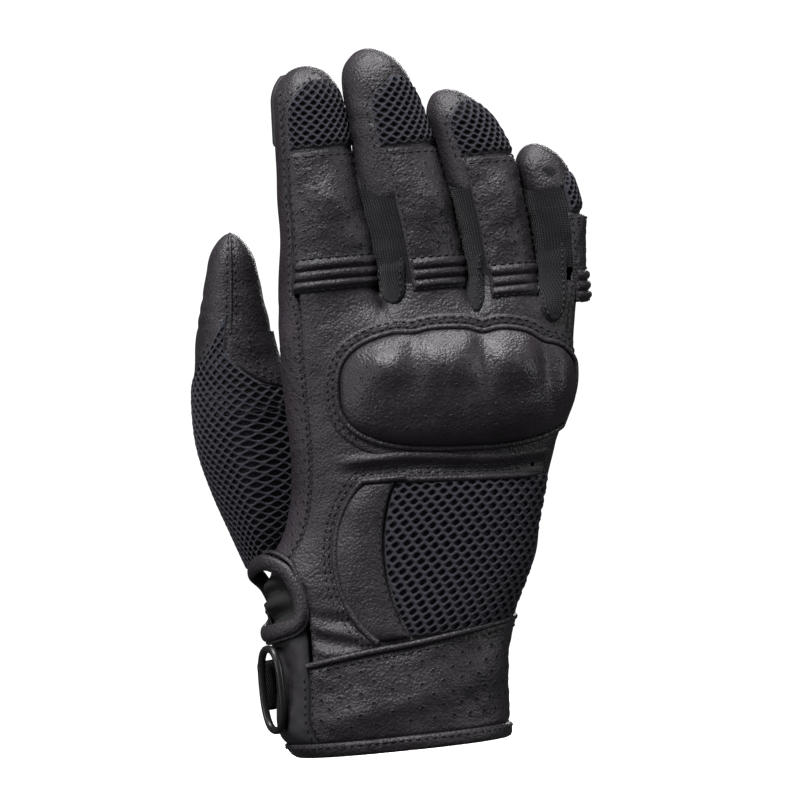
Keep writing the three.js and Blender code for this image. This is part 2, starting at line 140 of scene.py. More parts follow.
def smooth_loop(knots, steps):
    """A smooth closed path through a few points, as rows."""
    before, after, later = (np.roll(knots, shift, axis=0) for shift in (1, -1, -2))
    t = np.linspace(0, 1, steps, endpoint=False)[None, :, None]
    p0, p1, p2, p3 = (rows[:, None] for rows in (before, knots, after, later))
    path = p1 + (p2 - p0) / 2 * t + (p0 - 2.5 * p1 + 2 * p2 - p3 / 2) * t ** 2
    return (path + (1.5 * (p1 - p2) + (p3 - p0) / 2) * t ** 3).reshape(-1, knots.shape[1])


class Limb:
    """A tapering limb, from a table of (z, centre x, centre y, half width, half depth)."""

    def __init__(self, rows, roundness):
        rows = np.array(rows, float)
        self.roundness = roundness
        self.z = np.arange(rows[0, 0], rows[-1, 0] + 0.25, 0.5)
        slope = np.gradient(rows[:, 1:], rows[:, 0], axis=0, edge_order=1)
        i = np.clip(np.searchsorted(rows[:, 0], self.z, side="right") - 1, 0, len(rows) - 2)
        span = (rows[i + 1, 0] - rows[i, 0])[:, None]
        t = (self.z - rows[i, 0])[:, None] / span
        self.table = (
            rows[i, 1:] * (1 + 2 * t) * (1 - t) ** 2 + rows[i + 1, 1:] * t * t * (3 - 2 * t)
            + slope[i] * span * t * (1 - t) ** 2 + slope[i + 1] * span * t * t * (t - 1)
        )

    def at(self, z):
        return [np.interp(z, self.z, column) for column in self.table.T]

    def point(self, z, angle, offset, shrink=1.0):
        x, y, width, depth = self.at(z)
        turn = np.radians(angle)
        bend = 2 / self.roundness
        across = power(np.cos(turn), bend) * (width + offset) * shrink
        through = power(np.sin(turn), bend) * (depth + offset) * shrink
        return np.stack(np.broadcast_arrays(x + across, y - through, z), axis=-1)

    def capped(self, s, angle, offset, dome):
        """As point, but past the start of the dome s runs over it to the pole."""
        top = self.z[-1]
        turn = np.clip((s - (top - dome)) / dome, 0, 1) * math.pi / 2
        z = np.where(turn > 0, top - dome + (dome + offset) * np.sin(turn), s)
        return self.point(z, angle, offset, np.where(turn > 0, np.cos(turn), 1.0))


HAND = Limb(HAND_ROWS, HAND_ROUNDNESS)
THUMB = Limb(THUMB_ROWS, THUMB_ROUNDNESS)
for finger in FINGERS:
    finger["limb"] = Limb(finger["rows"], FINGER_ROUNDNESS)
    finger["top"] = finger["rows"][-1][0]


def finger_row(x, z, side):
    """The y of the nearest finger surface at x, side -1 for the back and 1 for the palm."""
    best = np.full(np.shape(x), 1.5)
    for finger in FINGERS:
        fx, fy, width, depth = finger["limb"].at(np.maximum(z, 160))
        share = np.minimum(np.abs(x - fx) / width, 1)
        y = fy + side * depth * (1 - share ** FINGER_ROUNDNESS) ** (1 / FINGER_ROUNDNESS)
        best = np.minimum(best, y) if side < 0 else np.maximum(best, y)
    return best


def hand_point(z, angle, offset):
    """The hand's surface, which parts into the four fingers towards its top."""
    points = HAND.point(z, angle, 0)
    turn, bend = np.radians(angle), 2 / HAND_ROUNDNESS
    across, deep = power(np.cos(turn), bend), -power(np.sin(turn), bend)
    normal = np.stack(np.broadcast_arrays(across, deep, 0 * z), axis=-1)
    x, y, height = points[..., 0], points[..., 1], points[..., 2]
    row = np.where(y < 0, finger_row(x, height, -1), finger_row(x, height, 1))
    share = ease(height, 146, 164) * ease(np.abs(y), 0.5, 6)
    points[..., 1] = y + (row - y) * share
    return points + normal * np.asarray(offset)[..., None]


def back_y(x, z):
    """The y of the back of the hand over a place."""
    cx, _, width, depth = HAND.at(z)
    share = np.minimum(np.abs(x - cx) / width, 0.985)
    base = -depth * (1 - share ** HAND_ROUNDNESS) ** (1 / HAND_ROUNDNESS)
    return base + (finger_row(x, z, -1) - base) * ease(z, 146, 164) * ease(-base, 0.5, 6)


def back_point(x, z, height):
    """A place on the back of the hand, raised by height."""
    slope = (back_y(x + 1, z) - back_y(x - 1, z)) / 2
    length = np.sqrt(1 + slope ** 2)
    return np.stack(np.broadcast_arrays(
        x + slope / length * height, back_y(x, z) - height / length, z), axis=-1)


def cuff_seam(angle):
    """Height of the seam between hand and cuff, which rises towards the little finger."""
    return 35.4 + 5.8 * np.cos(np.radians(angle))


# ---- Meshes ---------------------------------------------------------------------------------
def new_mesh(name, points, faces, materials, extras=None, indices=None):
    """A mesh from rows of four corners. A row that ends with the same corner twice is a triangle.
    extras holds further point attributes by name."""
    mesh = bpy.data.meshes.new(name)
    points = np.asarray(points, float)
    mesh.vertices.add(len(points))
    mesh.vertices.foreach_set("co", (points * MM).ravel())
    faces = np.asarray(faces, np.int32)
    corner = np.ones(faces.shape, bool)
    corner[:, -1] = faces[:, -1] != faces[:, -2]
    totals = corner.sum(axis=1)
    mesh.loops.add(int(totals.sum()))
    mesh.loops.foreach_set("vertex_index", faces[corner])
    mesh.polygons.add(len(faces))
    mesh.polygons.foreach_set("loop_start", (np.cumsum(totals) - totals).astype(np.int32))
    for material in materials:
        mesh.materials.append(material)
    if indices is not None:
        mesh.polygons.foreach_set("material_index", np.asarray(indices, np.int32))
    for key, values in (extras or {}).items():
        values = np.asarray(values, np.float32)
        kind = "FLOAT" if values.ndim == 1 else "FLOAT_VECTOR"
        attribute = mesh.attributes.new(key, kind, "POINT")
        attribute.data.foreach_set("value" if kind == "FLOAT" else "vector", values.ravel())
    rest = mesh.attributes.new("rest", "FLOAT_VECTOR", "POINT")
    rest.data.foreach_set("vector", points.astype(np.float32).ravel())
    mesh.update()
    mesh.validate()
    mesh.polygons.foreach_set("use_smooth", np.ones(len(mesh.polygons), bool))
    obj = bpy.data.objects.new(name, mesh)
    bpy.context.scene.collection.objects.link(obj)
    return obj


SHARP_ANGLE = math.radians(62)


def weld(obj, distance=0.01):
    """Joins coincident vertices and faces everything outwards."""
    work = bmesh.new()
    work.from_mesh(obj.data)
    bmesh.ops.remove_doubles(work, verts=work.verts, dist=distance * MM)
    bmesh.ops.dissolve_degenerate(work, edges=work.edges, dist=distance * MM / 2)
    bmesh.ops.recalc_face_normals(work, faces=work.faces)
    work.to_mesh(obj.data)
    work.free()
    obj.data.polygons.foreach_set("use_smooth", np.ones(len(obj.data.polygons), bool))
    obj.data.set_sharp_from_angle(angle=SHARP_ANGLE)
    obj.data.update()


def edge_distance(points, rolled, closed):
    """How far each grid point is from the nearest rolled edge, from the left edge and from the lower one."""
    far = np.full(points.shape[:2], 1e3)
    step_u = np.linalg.norm(np.diff(points, axis=0), axis=-1)
    step_v = np.linalg.norm(np.diff(points, axis=1), axis=-1)
    from_left = np.vstack([np.zeros(points.shape[1]), np.cumsum(step_u, axis=0)])
    from_low = np.hstack([np.zeros((points.shape[0], 1)), np.cumsum(step_v, axis=1)])
    if "l" in rolled and not closed:
        far = np.minimum(far, from_left)
    if "r" in rolled and not closed:
        far = np.minimum(far, from_left[-1] - from_left)
    if "b" in rolled:
        far = np.minimum(far, from_low)
    if "t" in rolled:
        far = np.minimum(far, from_low[:, -1:] - from_low)
    return far, from_left, from_low


def panel(name, surface, us, vs, material, lift=0.0, wall=WALL, relief=None, rolled="lrbt", closed=False,
          roll=0.9, roll_width=1.8, pit=None, along_of=None):
    """A closed sheet over a surface. us and vs are the grid lines, and rolled names its turned-in edges.
    relief(u, v, points) adds height. pit(along, up) gives (depth, share) of a mesh fabric's holes, and
    along_of(u, v) where a point lies along the cloth, if it isn't simply the way from its left edge."""
    grid_u, grid_v = np.meshgrid(us, vs, indexing="ij")
    base = surface(grid_u, grid_v, lift + 0 * grid_u)
    distance, along, up = edge_distance(base, rolled, closed)
    if along_of is not None:
        along, up = along_of(grid_u, grid_v), base[..., 2]
    offset = lift - roll * (1 - np.clip(distance / roll_width, 0, 1)) ** 2
    if relief is not None:
        offset = offset + relief(grid_u, grid_v, base) * ease(distance, 0, 2 * roll_width)
    # The open cells' share is kept as the "pit" attribute; the mesh material paints it near-black as painted
    # shade.
    pit_shade = np.zeros(grid_u.shape)
    if pit is not None:
        depth, pit_shade = pit(along, up)
        fade = ease(distance, 0.4, 1.6)
        offset = offset - depth * fade
        pit_shade = pit_shade * fade
    outer = surface(grid_u, grid_v, offset)
    inner = surface(grid_u, grid_v, lift - wall + 0 * grid_u)
    cloth = np.stack([along, up, 0 * up], axis=-1)
    nu, nv = grid_u.shape
    ids = np.arange(nu * nv).reshape(nu, nv)
    back = ids + nu * nv
    i = np.arange(nu if closed else nu - 1)
    k = (i + 1) % nu
    top = np.stack([ids[i, :-1], ids[i, 1:], ids[k, 1:], ids[k, :-1]], axis=-1).reshape(-1, 4)
    under = np.stack([back[i, :-1], back[k, :-1], back[k, 1:], back[i, 1:]], axis=-1).reshape(-1, 4)
    low = np.stack([ids[i, 0], ids[k, 0], back[k, 0], back[i, 0]], axis=-1)
    high = np.stack([back[i, -1], back[k, -1], ids[k, -1], ids[i, -1]], axis=-1)
    faces = [top, under, low, high]
    if not closed:
        left = np.stack([back[0, :-1], back[0, 1:], ids[0, 1:], ids[0, :-1]], axis=-1)
        right = np.stack([ids[-1, :-1], ids[-1, 1:], back[-1, 1:], back[-1, :-1]], axis=-1)
        faces += [left, right]
    points = np.concatenate([outer.reshape(-1, 3), inner.reshape(-1, 3)])
    extras = {
        "cloth": np.concatenate([cloth.reshape(-1, 3)] * 2),
        "pit": np.concatenate([pit_shade.ravel(), np.zeros(nu * nv)]),
    }
    obj = new_mesh(name, points, np.concatenate(faces), [material], extras)
    weld(obj)
    return obj


def lines(low, high, step):
    """Grid lines from low to high, about a step apart."""
    return np.linspace(low, high, max(int(round(abs(high - low) / step)), 1) + 1)


def end_caps(ids):
    """Triangles from the first and last ring of corners to two points numbered after the last corner."""
    following = np.roll(ids, -1, axis=1)
    first, last = ids.size, ids.size + 1
    caps = [[b, a, first, first] for a, b in zip(ids[0], following[0])]
    return caps + [[a, b, last, last] for a, b in zip(ids[-1], following[-1])]


def tube(name, path, radius, material, closed=True, sides=10, flatten=1.0, outward=None):
    """A round bead along a path. flatten squeezes it along the outward direction."""
    path = np.asarray(path, float)
    ahead = np.roll(path, -1, axis=0) - np.roll(path, 1, axis=0)
    if not closed:
        ahead[0] = path[1] - path[0]
        ahead[-1] = path[-1] - path[-2]
    ahead /= np.linalg.norm(ahead, axis=1, keepdims=True)
    outward = np.asarray(outward if outward is not None else [[0, -1, 0]] * len(path), float)
    side = np.cross(ahead, outward)
    side /= np.linalg.norm(side, axis=1, keepdims=True)
    up = np.cross(side, ahead)
    turn = np.linspace(0, math.tau, sides, endpoint=False)
    ring = (path[:, None] + radius * (np.cos(turn)[None, :, None] * side[:, None]
            + flatten * np.sin(turn)[None, :, None] * up[:, None]))
    count = len(path)
    ids = np.arange(count * sides).reshape(count, sides)
    i = np.arange(count if closed else count - 1)
    k = (i + 1) % count
    j = np.arange(sides)
    m = (j + 1) % sides
    faces = np.stack([ids[i][:, j], ids[k][:, j], ids[k][:, m], ids[i][:, m]], axis=-1).reshape(-1, 4)
    points = ring.reshape(-1, 3)
    if not closed:
        reach = ahead * radius * 0.4
        points = np.vstack([points, path[:1] - reach[:1], path[-1:] + reach[-1:]])
        faces = np.vstack([faces, end_caps(ids)])
    turns = np.linalg.norm(np.diff(path, axis=0, prepend=path[:1]), axis=1).cumsum()
    cloth = np.stack(np.broadcast_arrays(turns[:, None], turn[None] * radius, 0.0), axis=-1).reshape(-1, 3)
    if not closed:
        cloth = np.vstack([cloth, cloth[:1], cloth[-1:]])
    obj = new_mesh(name, points, faces, [material], {"cloth": cloth, "pit": np.zeros(len(points))})
    weld(obj)
    return obj


def copies(name, shape_points, shape_faces, places, frames, materials, face_materials=None):
    """Many copies of one small shape, as one mesh. frames holds each copy's three axes as rows."""
    shape_points = np.asarray(shape_points, float)
    shape_faces = np.asarray(shape_faces)
    points = places[:, None] + np.einsum("pk,nkc->npc", shape_points, frames)
    shift = np.arange(len(places))[:, None, None] * len(shape_points)
    faces = (shape_faces[None] + shift).reshape(-1, shape_faces.shape[1])
    picks = None if face_materials is None else np.tile(face_materials, len(places))
    flat = points.reshape(-1, 3)
    extras = {"cloth": flat, "pit": np.zeros(len(flat))}
    return new_mesh(name, flat, faces, materials, extras, indices=picks)


def surface_frames(surface, us, vs, lift):
    """Points on a surface, and the directions that point straight out of it there."""
    here = surface(us, vs, lift + 0 * us)
    normal = surface(us, vs, lift + 1 + 0 * us) - here
    normal /= np.linalg.norm(normal, axis=1, keepdims=True)
    return here, normal


def lay_on(pieces, points, normals):
    """Moves points along their normals onto the outermost of some pieces. Says which points met one."""
    reach = 5.0
    trees = [BVHTree.FromPolygons([v.co for v in piece.data.vertices],
                                  [face.vertices for face in piece.data.polygons]) for piece in pieces]
    met = np.zeros(len(points), bool)
    for i, (point, normal) in enumerate(zip(points.copy(), normals.copy())):
        start = Vector((point + normal * reach) * MM)
        nearest = 1.0
        for tree in trees:
            hit, face_normal, _, distance = tree.ray_cast(start, Vector(-normal), 2 * reach * MM)
            if hit is not None and distance < nearest:
                nearest = distance
                met[i] = True
                points[i] = np.array(hit) / MM
                normals[i] = np.array(face_normal) * math.copysign(1, face_normal.dot(Vector(normal)))
    return met


def ring_faces(rings, sides):
    """The faces between neighbouring rings of corners."""
    return [(low + j, low + (j + 1) % sides, low + sides + (j + 1) % sides, low + sides + j)
            for low in range(0, (rings - 1) * sides, sides) for j in range(sides)]


def stitch_shape(length, radius, sides=6, rings=5):
    """One stitch: a slim bead that dips into the leather at both ends."""
    points = []
    for i in range(rings):
        t = i / (rings - 1)
        reach = math.sin(math.pi * mix(0.12, 0.88, t)) ** 0.6 * radius
        sink = -0.25 * (2 * t - 1) ** 2
        for j in range(sides):
            turn = math.tau * j / sides
            points.append(((t - 0.5) * length, math.cos(turn) * reach, math.sin(turn) * reach + sink))
    faces = ring_faces(rings, sides)
    faces += [(3, 2, 1, 0), (5, 4, 3, 0)]
    last = (rings - 1) * sides
    faces += [(last, last + 1, last + 2, last + 3), (last, last + 3, last + 4, last + 5)]
    return points, faces


def stitches(name, surface, routes, on=(), lift=0.1, pitch=2.9, length=2.0, radius=0.42):
    """A dashed row of thread along each route, a pair of arrays (u, v) on the surface, laid on pieces."""
    places, frames = [], []
    near = 0.4
    for us, vs in routes:
        us, vs = np.broadcast_arrays(np.asarray(us, float), np.asarray(vs, float))
        line = surface(us, vs, lift + 0 * us)
        run = np.concatenate([[0], np.linalg.norm(np.diff(line, axis=0), axis=1).cumsum()])
        marks = np.arange(pitch / 2, run[-1], pitch)
        (here, normal), (later, _), (before, _) = (
            surface_frames(surface, np.interp(place, run, us), np.interp(place, run, vs), lift)
            for place in (marks, marks + near, marks - near))
        ahead = later - before
        ahead /= np.linalg.norm(ahead, axis=1, keepdims=True)
        if on:
            met = lay_on(on, here, normal)
            here, normal, ahead = here[met], normal[met], ahead[met]
        side = np.cross(normal, ahead)
        side /= np.linalg.norm(side, axis=1, keepdims=True)
        places.append(here)
        frames.append(np.stack([ahead, side, np.cross(ahead, side)], axis=1))
    points, faces = stitch_shape(length, radius)
    return copies(name, points, faces, np.concatenate(places), np.concatenate(frames), [THREAD])


def hole_shape(radius, sides=10):
    """One perforation: a raised lip round a flat near-black disc of painted shade that stands for the hole.
    Its faces take material 0, and the disc's 1.
    """
    rings = [(1.6, -0.06), (1.3, 0.09), (1.05, 0.1), (1.0, 0.06)]  # reach in radii, height
    points = []
    for reach, height in rings:
        for j in range(sides):
            turn = math.tau * j / sides
            points.append((math.cos(turn) * radius * reach, math.sin(turn) * radius * reach, height))
    lip = ring_faces(len(rings), sides)
    first = (len(rings) - 1) * sides
    # A flat disc across the lip's inner ring, given the near-black painted shade material.
    well = [(first, first + j, first + j + 1, first + j + 2) for j in range(1, sides - 2, 2)]
    base = len(points)
    points.append((0, 0, -0.2))
    under = [((j + 1) % sides, j, base, base) for j in range(sides)]
    return points, lip + well + under, [0] * len(lip) + [1] * len(well) + [0] * len(under)


def perforations(name, surface, us, vs, leather, on, radius):
    """Punched holes at places on a surface, laid on pieces."""
    here, normal = surface_frames(surface, us, vs, 0.0)
    met = lay_on(on, here, normal)
    here, normal = here[met], normal[met]
    side = np.cross(normal, [0, 0, 1.0])
    side /= np.linalg.norm(side, axis=1, keepdims=True)
    frames = np.stack([side, np.cross(normal, side), normal], axis=1)
    points, faces, picks = hole_shape(radius)
    obj = copies(name, points, faces, here, frames, [leather, HOLE_PAINTED_SHADE], picks)
    weld(obj, 0.002)
    return obj


def staggered(low_u, high_u, low_v, high_v, pitch_u, pitch_v):
    """Rows of points, every other row moved by half a pitch."""
    us, vs = [], []
    for k, v in enumerate(np.arange(low_v, high_v, pitch_v)):
        row = np.arange(low_u + (k % 2) * pitch_u / 2, high_u, pitch_u)
        us.extend(row)
        vs.extend([v] * len(row))
    return np.array(us), np.array(vs)


def cells(pitch_u, pitch_v, hole_u, hole_v, depth):
    """The holes of a spacer mesh: staggered cells with rounded diamond openings."""
    def pit(along, up):
        best = np.full(along.shape, 9.0)
        for shift in (0, 1):
            row = np.floor(up / pitch_v) + shift
            start = (row % 2) * pitch_u / 2
            column = np.round((along - start) / pitch_u)
            du = np.abs(along - start - column * pitch_u) / hole_u
            dv = np.abs(up - row * pitch_v) / hole_v
            best = np.minimum(best, (du ** 1.5 + dv ** 1.5) ** (1 / 1.5))
        # share marks the open cells: depth sinks them, and the mesh material paints them near-black as
        # painted shade.
        share = 1 - ease(best, 0.62, 1.08)
        strand = 0.16 * ease(best, 1.0, 1.5)
        return depth * share - strand, share
    return pit


# ---- Materials ------------------------------------------------------------------------------
class Shader:
    """A small helper that adds and links nodes of one material."""

    def __init__(self, name, roughness, specular=0.5, sheen=0.0):
        self.material = bpy.data.materials.new(name)
        self.material.use_nodes = True
        self.tree = self.material.node_tree
        self.bsdf = self.tree.nodes["Principled BSDF"]
        self.bsdf.inputs["Roughness"].default_value = roughness
        self.bsdf.inputs["Specular IOR Level"].default_value = specular
        self.bsdf.inputs["Sheen Weight"].default_value = sheen
        self.bsdf.inputs["Sheen Roughness"].default_value = 0.5

    def give(self, socket, value):
        """Links a socket to an output, or sets its value."""
        if isinstance(value, bpy.types.NodeSocket):
            self.tree.links.new(value, socket)
        else:
            socket.default_value = value

    def add(self, kind, **inputs):
        node = self.tree.nodes.new(kind)
        for key, value in inputs.items():
            self.give(node.inputs[key], value)
        return node

    def attribute(self, name, output="Vector"):
        node = self.tree.nodes.new("ShaderNodeAttribute")
        node.attribute_name = name
        return node.outputs[output]

    def noise(self, vector, scale, detail=3.0, roughness=0.55):
        node = self.add("ShaderNodeTexNoise", Vector=vector, Scale=scale, Detail=detail, Roughness=roughness)
        return node.outputs["Fac"]

    def math(self, operation, a, b=0.0):
        node = self.tree.nodes.new("ShaderNodeMath")
        node.operation = operation
        for socket, value in zip(node.inputs, (a, b)):
            self.give(socket, value)
        return node.outputs[0]

    def scaled(self, vector, factors):
        node = self.tree.nodes.new("ShaderNodeVectorMath")
        node.operation = "MULTIPLY"
        self.tree.links.new(vector, node.inputs[0])
        node.inputs[1].default_value = factors
        return node.outputs[0]

    def range(self, value, low, high, to_low, to_high):
        node = self.add("ShaderNodeMapRange", Value=value)
        for index, number in enumerate((low, high, to_low, to_high), 1):
            node.inputs[index].default_value = number
        return node.outputs[0]

    def blend_colors(self, share, first, second):
        node = self.tree.nodes.new("ShaderNodeMix")
        node.data_type = "RGBA"
        self.tree.links.new(share, node.inputs["Factor"])
        for socket, value in zip([s for s in node.inputs if s.type == "RGBA"], (first, second)):
            self.give(socket, (*value, 1) if isinstance(value, tuple) else value)
        return [s for s in node.outputs if s.type == "RGBA"][0]

    def bump(self, height, strength, distance_mm):
        node = self.add("ShaderNodeBump", Height=height, Strength=strength, Distance=distance_mm * MM)
        self.tree.links.new(node.outputs[0], self.bsdf.inputs["Normal"])

    def color(self, socket):
        self.tree.links.new(socket, self.bsdf.inputs["Base Color"])

    def rough(self, socket):
        self.tree.links.new(socket, self.bsdf.inputs["Roughness"])


def leather(name, dark, light, rough_low, rough_high, grain=1.0):
    """Goat leather: pebbled grain, fine creases, patchy dye and lighter high spots, partly rubbed wear and
    partly painted highlight.
    """
    shader = Shader(name, rough_low, specular=0.42)
    rest = shader.attribute("rest")
    warp = shader.add("ShaderNodeTexNoise", Vector=rest, Scale=0.5, Detail=2.0)
    moved = shader.tree.nodes.new("ShaderNodeVectorMath")
    shader.tree.links.new(rest, moved.inputs[0])
    shader.tree.links.new(warp.outputs["Color"], moved.inputs[1])
    pebbles = shader.add("ShaderNodeTexVoronoi", Vector=moved.outputs[0], Scale=1.05)
    pebbles.feature = "SMOOTH_F1"
    pebbles.inputs["Smoothness"].default_value = 0.3
    cell = shader.math("SUBTRACT", 1.0, pebbles.outputs["Distance"])
    creases = shader.noise(shader.scaled(rest, (0.7, 0.7, 1.0)), 0.3, 4.0, 0.6)
    pores = shader.noise(rest, 2.4, 3.0, 0.6)
    height = shader.math("ADD", shader.math("MULTIPLY", cell, 0.75), shader.math("MULTIPLY", creases, 1.1))
    height = shader.math("ADD", height, shader.math("MULTIPLY", pores, 0.35))
    shader.bump(height, 0.6 * grain, 0.5)
    patches = shader.range(shader.noise(rest, 0.05, 4.0, 0.6), 0.35, 0.65, 0.0, 1.0)
    dyed = shader.blend_colors(patches, dark, light)
    # The grain's high spots are painted lighter: partly rubbed wear, partly a painted highlight.
    wear_and_highlight = shader.range(shader.math("ADD", cell, creases), 1.05, 1.5, 0.0, 0.4)
    shader.color(shader.blend_colors(wear_and_highlight, dyed, dimmed(light, 1.9)))
    shader.rough(shader.range(shader.noise(rest, 0.4, 3.0), 0.3, 0.7, rough_low, rough_high))
    return shader.material


def dimmed(color, share):
    return tuple(value * share for value in color)


def mesh_fabric(name, thread):
    """Spacer mesh: fine knitted strands, with the open cells painted near-black as painted shade."""
    shader = Shader(name, 0.75, specular=0.2, sheen=0.1)
    cloth = shader.attribute("cloth")
    pit = shader.attribute("pit", "Fac")
    yarn = shader.noise(shader.scaled(cloth, (2.6, 1.1, 1.0)), 1.5, 3.0)
    share = shader.range(yarn, 0.35, 0.65, 0.0, 1.0)
    threads = shader.blend_colors(share, dimmed(thread, 0.6), dimmed(thread, 1.5))
    # The "pit" attribute paints the open cells near-black: painted shade in the holes.
    shader.color(shader.blend_colors(pit, threads, (0.0012, 0.0012, 0.0016)))
    shader.bump(yarn, 0.6, 0.25)
    return shader.material


def knit(name, base, pitch, slant=0.0):
    """Ribbed stretch knit, with ribs along the finger."""
    shader = Shader(name, 0.85, specular=0.15, sheen=0.12)
    cloth = shader.attribute("cloth")
    split = shader.add("ShaderNodeSeparateXYZ", Vector=cloth)
    across = shader.math("ADD", split.outputs[0], shader.math("MULTIPLY", split.outputs[1], slant))
    rib = shader.math("SINE", shader.math("MULTIPLY", across, math.tau / pitch))
    purl = shader.math("SINE", shader.math("MULTIPLY", split.outputs[1], math.tau / 0.8))
    loops = shader.math("ADD", rib, shader.math("MULTIPLY", purl, 0.4))
    fuzz = shader.noise(cloth, 4.0, 3.0)
    height = shader.math("ADD", shader.math("MULTIPLY", loops, 0.5), fuzz)
    shader.bump(height, 0.7, 0.35)
    # Rib tops are painted lighter and the grooves darker: painted highlight and painted shade that follow the
    # ribs.
    share = shader.range(loops, -1.0, 1.2, 0.0, 1.0)
    shader.color(shader.blend_colors(share, dimmed(base, 0.3), dimmed(base, 1.5)))
    return shader.material


def plain(name, base, roughness, scale=1.5, bump=0.25, sheen=0.0):
    """A moulded or sewn trim material with fine mottling."""
    shader = Shader(name, roughness, specular=0.5, sheen=sheen)
    rest = shader.attribute("rest")
    speckle = shader.noise(rest, scale, 4.0)
    share = shader.range(speckle, 0.35, 0.65, 0.0, 1.0)
    shader.color(shader.blend_colors(share, dimmed(base, 0.65), dimmed(base, 1.35)))
    shader.bump(speckle, bump, 0.15)
    shader.rough(shader.range(speckle, 0.3, 0.7, roughness * 0.85, min(roughness * 1.15, 1)))
    return shader.material


LEATHER = leather("goat_leather", (0.0155, 0.0125, 0.0160), (0.030, 0.0255, 0.0310), 0.40, 0.54)
GUARD_LEATHER = leather("guard_leather", (0.0165, 0.0130, 0.0165), (0.029, 0.0240, 0.0295), 0.34, 0.46, 0.75)
STRIP_LEATHER = leather("strip_leather", (0.0175, 0.0130, 0.0175), (0.030, 0.0235, 0.0305), 0.44, 0.58)
MESH = mesh_fabric("spacer_mesh", (0.030, 0.030, 0.041))
KNIT = knit("ribbed_knit", (0.0135, 0.0120, 0.0155), pitch=1.05)
WEBBING = knit("black_webbing", (0.010, 0.010, 0.0115), pitch=0.9, slant=0.6)
NYLON = plain("nylon_cloth", (0.0165, 0.0140, 0.0180), 0.62, 1.4, 0.6)
PLASTIC = plain("moulded_plastic", (0.010, 0.010, 0.0115), 0.36, 2.5, 0.1)
THREAD = plain("sewing_thread", (0.0055, 0.005, 0.0058), 0.65, 6.0, 0.5)
# Near-black painted shade for the perforations' discs, standing in for the holes' depth.
HOLE_PAINTED_SHADE = plain("perforation_well", (0.0012, 0.0011, 0.0012), 0.9)
LINING = plain("lining", (0.008, 0.008, 0.009), 0.85, 1.2, 0.7)
LOOPS = plain("loop_pile", (0.009, 0.009, 0.010), 0.95, 3.0, 1.0, sheen=0.4)
HOOKS = plain("hook_tape", (0.012, 0.012, 0.013), 0.5, 3.5, 1.0)


def place(obj, body="hand", replaces=(), bend=None):
    """Puts a finished piece on its body. With a bend, it only bakes the piece's placement into its mesh and
    puts it on no body; the bend's bodies and heights are not used.
    """
    if bend is None:
        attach(obj, body)
    else:
        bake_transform(obj)
    if replaces:
        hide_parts(*replaces)


def sew(name, surface, routes, body="hand", bend=None, **options):
    """Rows of stitches on a body, or, with a bend, baked in place on no body."""
    place(stitches(name, surface, routes, **options), body, bend=bend)


# ---- Camera, light and floor ----------------------------------------------------------------
def build_stage():
    scene = bpy.context.scene
    scene.view_settings.view_transform = "Standard"
    camera_data = bpy.data.cameras.new("camera")
    view_width, distance = 281.6 * MM, 1.6
    aim = (13.0 * MM, -distance, 121.1 * MM)
    camera_data.sensor_width = 36
    camera_data.lens = camera_data.sensor_width * distance / view_width
    camera_data.clip_end = 20
    camera = bpy.data.objects.new("camera", camera_data)
    scene.collection.objects.link(camera)
    roll = math.radians(5.8)  # the picture's glove leans by this much
    right = (math.cos(roll), 0, -math.sin(roll))
    up = (math.sin(roll), 0, math.cos(roll))
    rotation = Matrix((right, up, (0, -1, 0))).transposed().to_4x4()
    camera.matrix_world = Matrix.Translation(aim) @ rotation
    scene.camera = camera

    backdrop = round_backdrop(floor=-0.1, radius=5.0, curve=1.0, sides=64)
    backdrop.visible_diffuse = False
    backdrop.visible_glossy = False

    world = bpy.data.worlds.new("studio")
    world.use_nodes = True
    world.node_tree.nodes["Background"].inputs["Color"].default_value = (1, 1, 1, 1)
    world.node_tree.nodes["Background"].inputs["Strength"].default_value = 0.07
    scene.world = world
    area_light("key", (-0.4, -0.75, 1.5), (0.02, 0, 0.13), 0.55, 34)
    area_light("top", (0.25, 0.05, 1.4), (0.02, 0, 0.15), 0.5, 15)
    area_light("left", (-1.3, -0.7, 0.3), (0, 0, 0.1), 0.5, 5)
    area_light("right", (1.3, -0.6, 0.35), (0.02, 0, 0.1), 0.4, 5)
    area_light("rear", (0.3, 1.5, 0.7), (0.02, 0, 0.12), 0.6, 14)


def round_backdrop(floor, radius, curve, sides):
    """A pale floor that curves up into a round wall and a ceiling: the ground of a view from any side."""
    height = radius
    bends = np.linspace(0.1, math.pi / 2, 10)
    profile = [(radius - curve, floor)]
    profile += [(radius - curve * (1 - math.sin(t)), floor + curve * (1 - math.cos(t))) for t in bends]
    profile.append((radius, height))
    turns = np.linspace(0, math.tau, sides, endpoint=False)
    points = [(r * math.cos(t), r * math.sin(t), z) for r, z in profile for t in turns]
    poles = [(0, 0, floor), (0, 0, height)]
    below, above = len(points), len(points) + 1
    faces = []
    for k in range(sides):
        m = (k + 1) % sides
        last = (len(profile) - 1) * sides
        faces.append((below, k, m, m))
        faces.append((last + k, above, last + m, last + m))
        faces += [(row + k, row + sides + k, row + sides + m, row + m) for row in range(0, last, sides)]
    return new_mesh("backdrop", np.array(points + poles) / MM, faces, [backdrop_material()])


def backdrop_material():
    shader = Shader("backdrop", 0.9, specular=0.1)
    shader.bsdf.inputs["Base Color"].default_value = (0.8, 0.8, 0.8, 1)
    shader.bsdf.inputs["Emission Color"].default_value = (1, 1, 1, 1)
    shader.bsdf.inputs["Emission Strength"].default_value = 1.0
    return shader.material


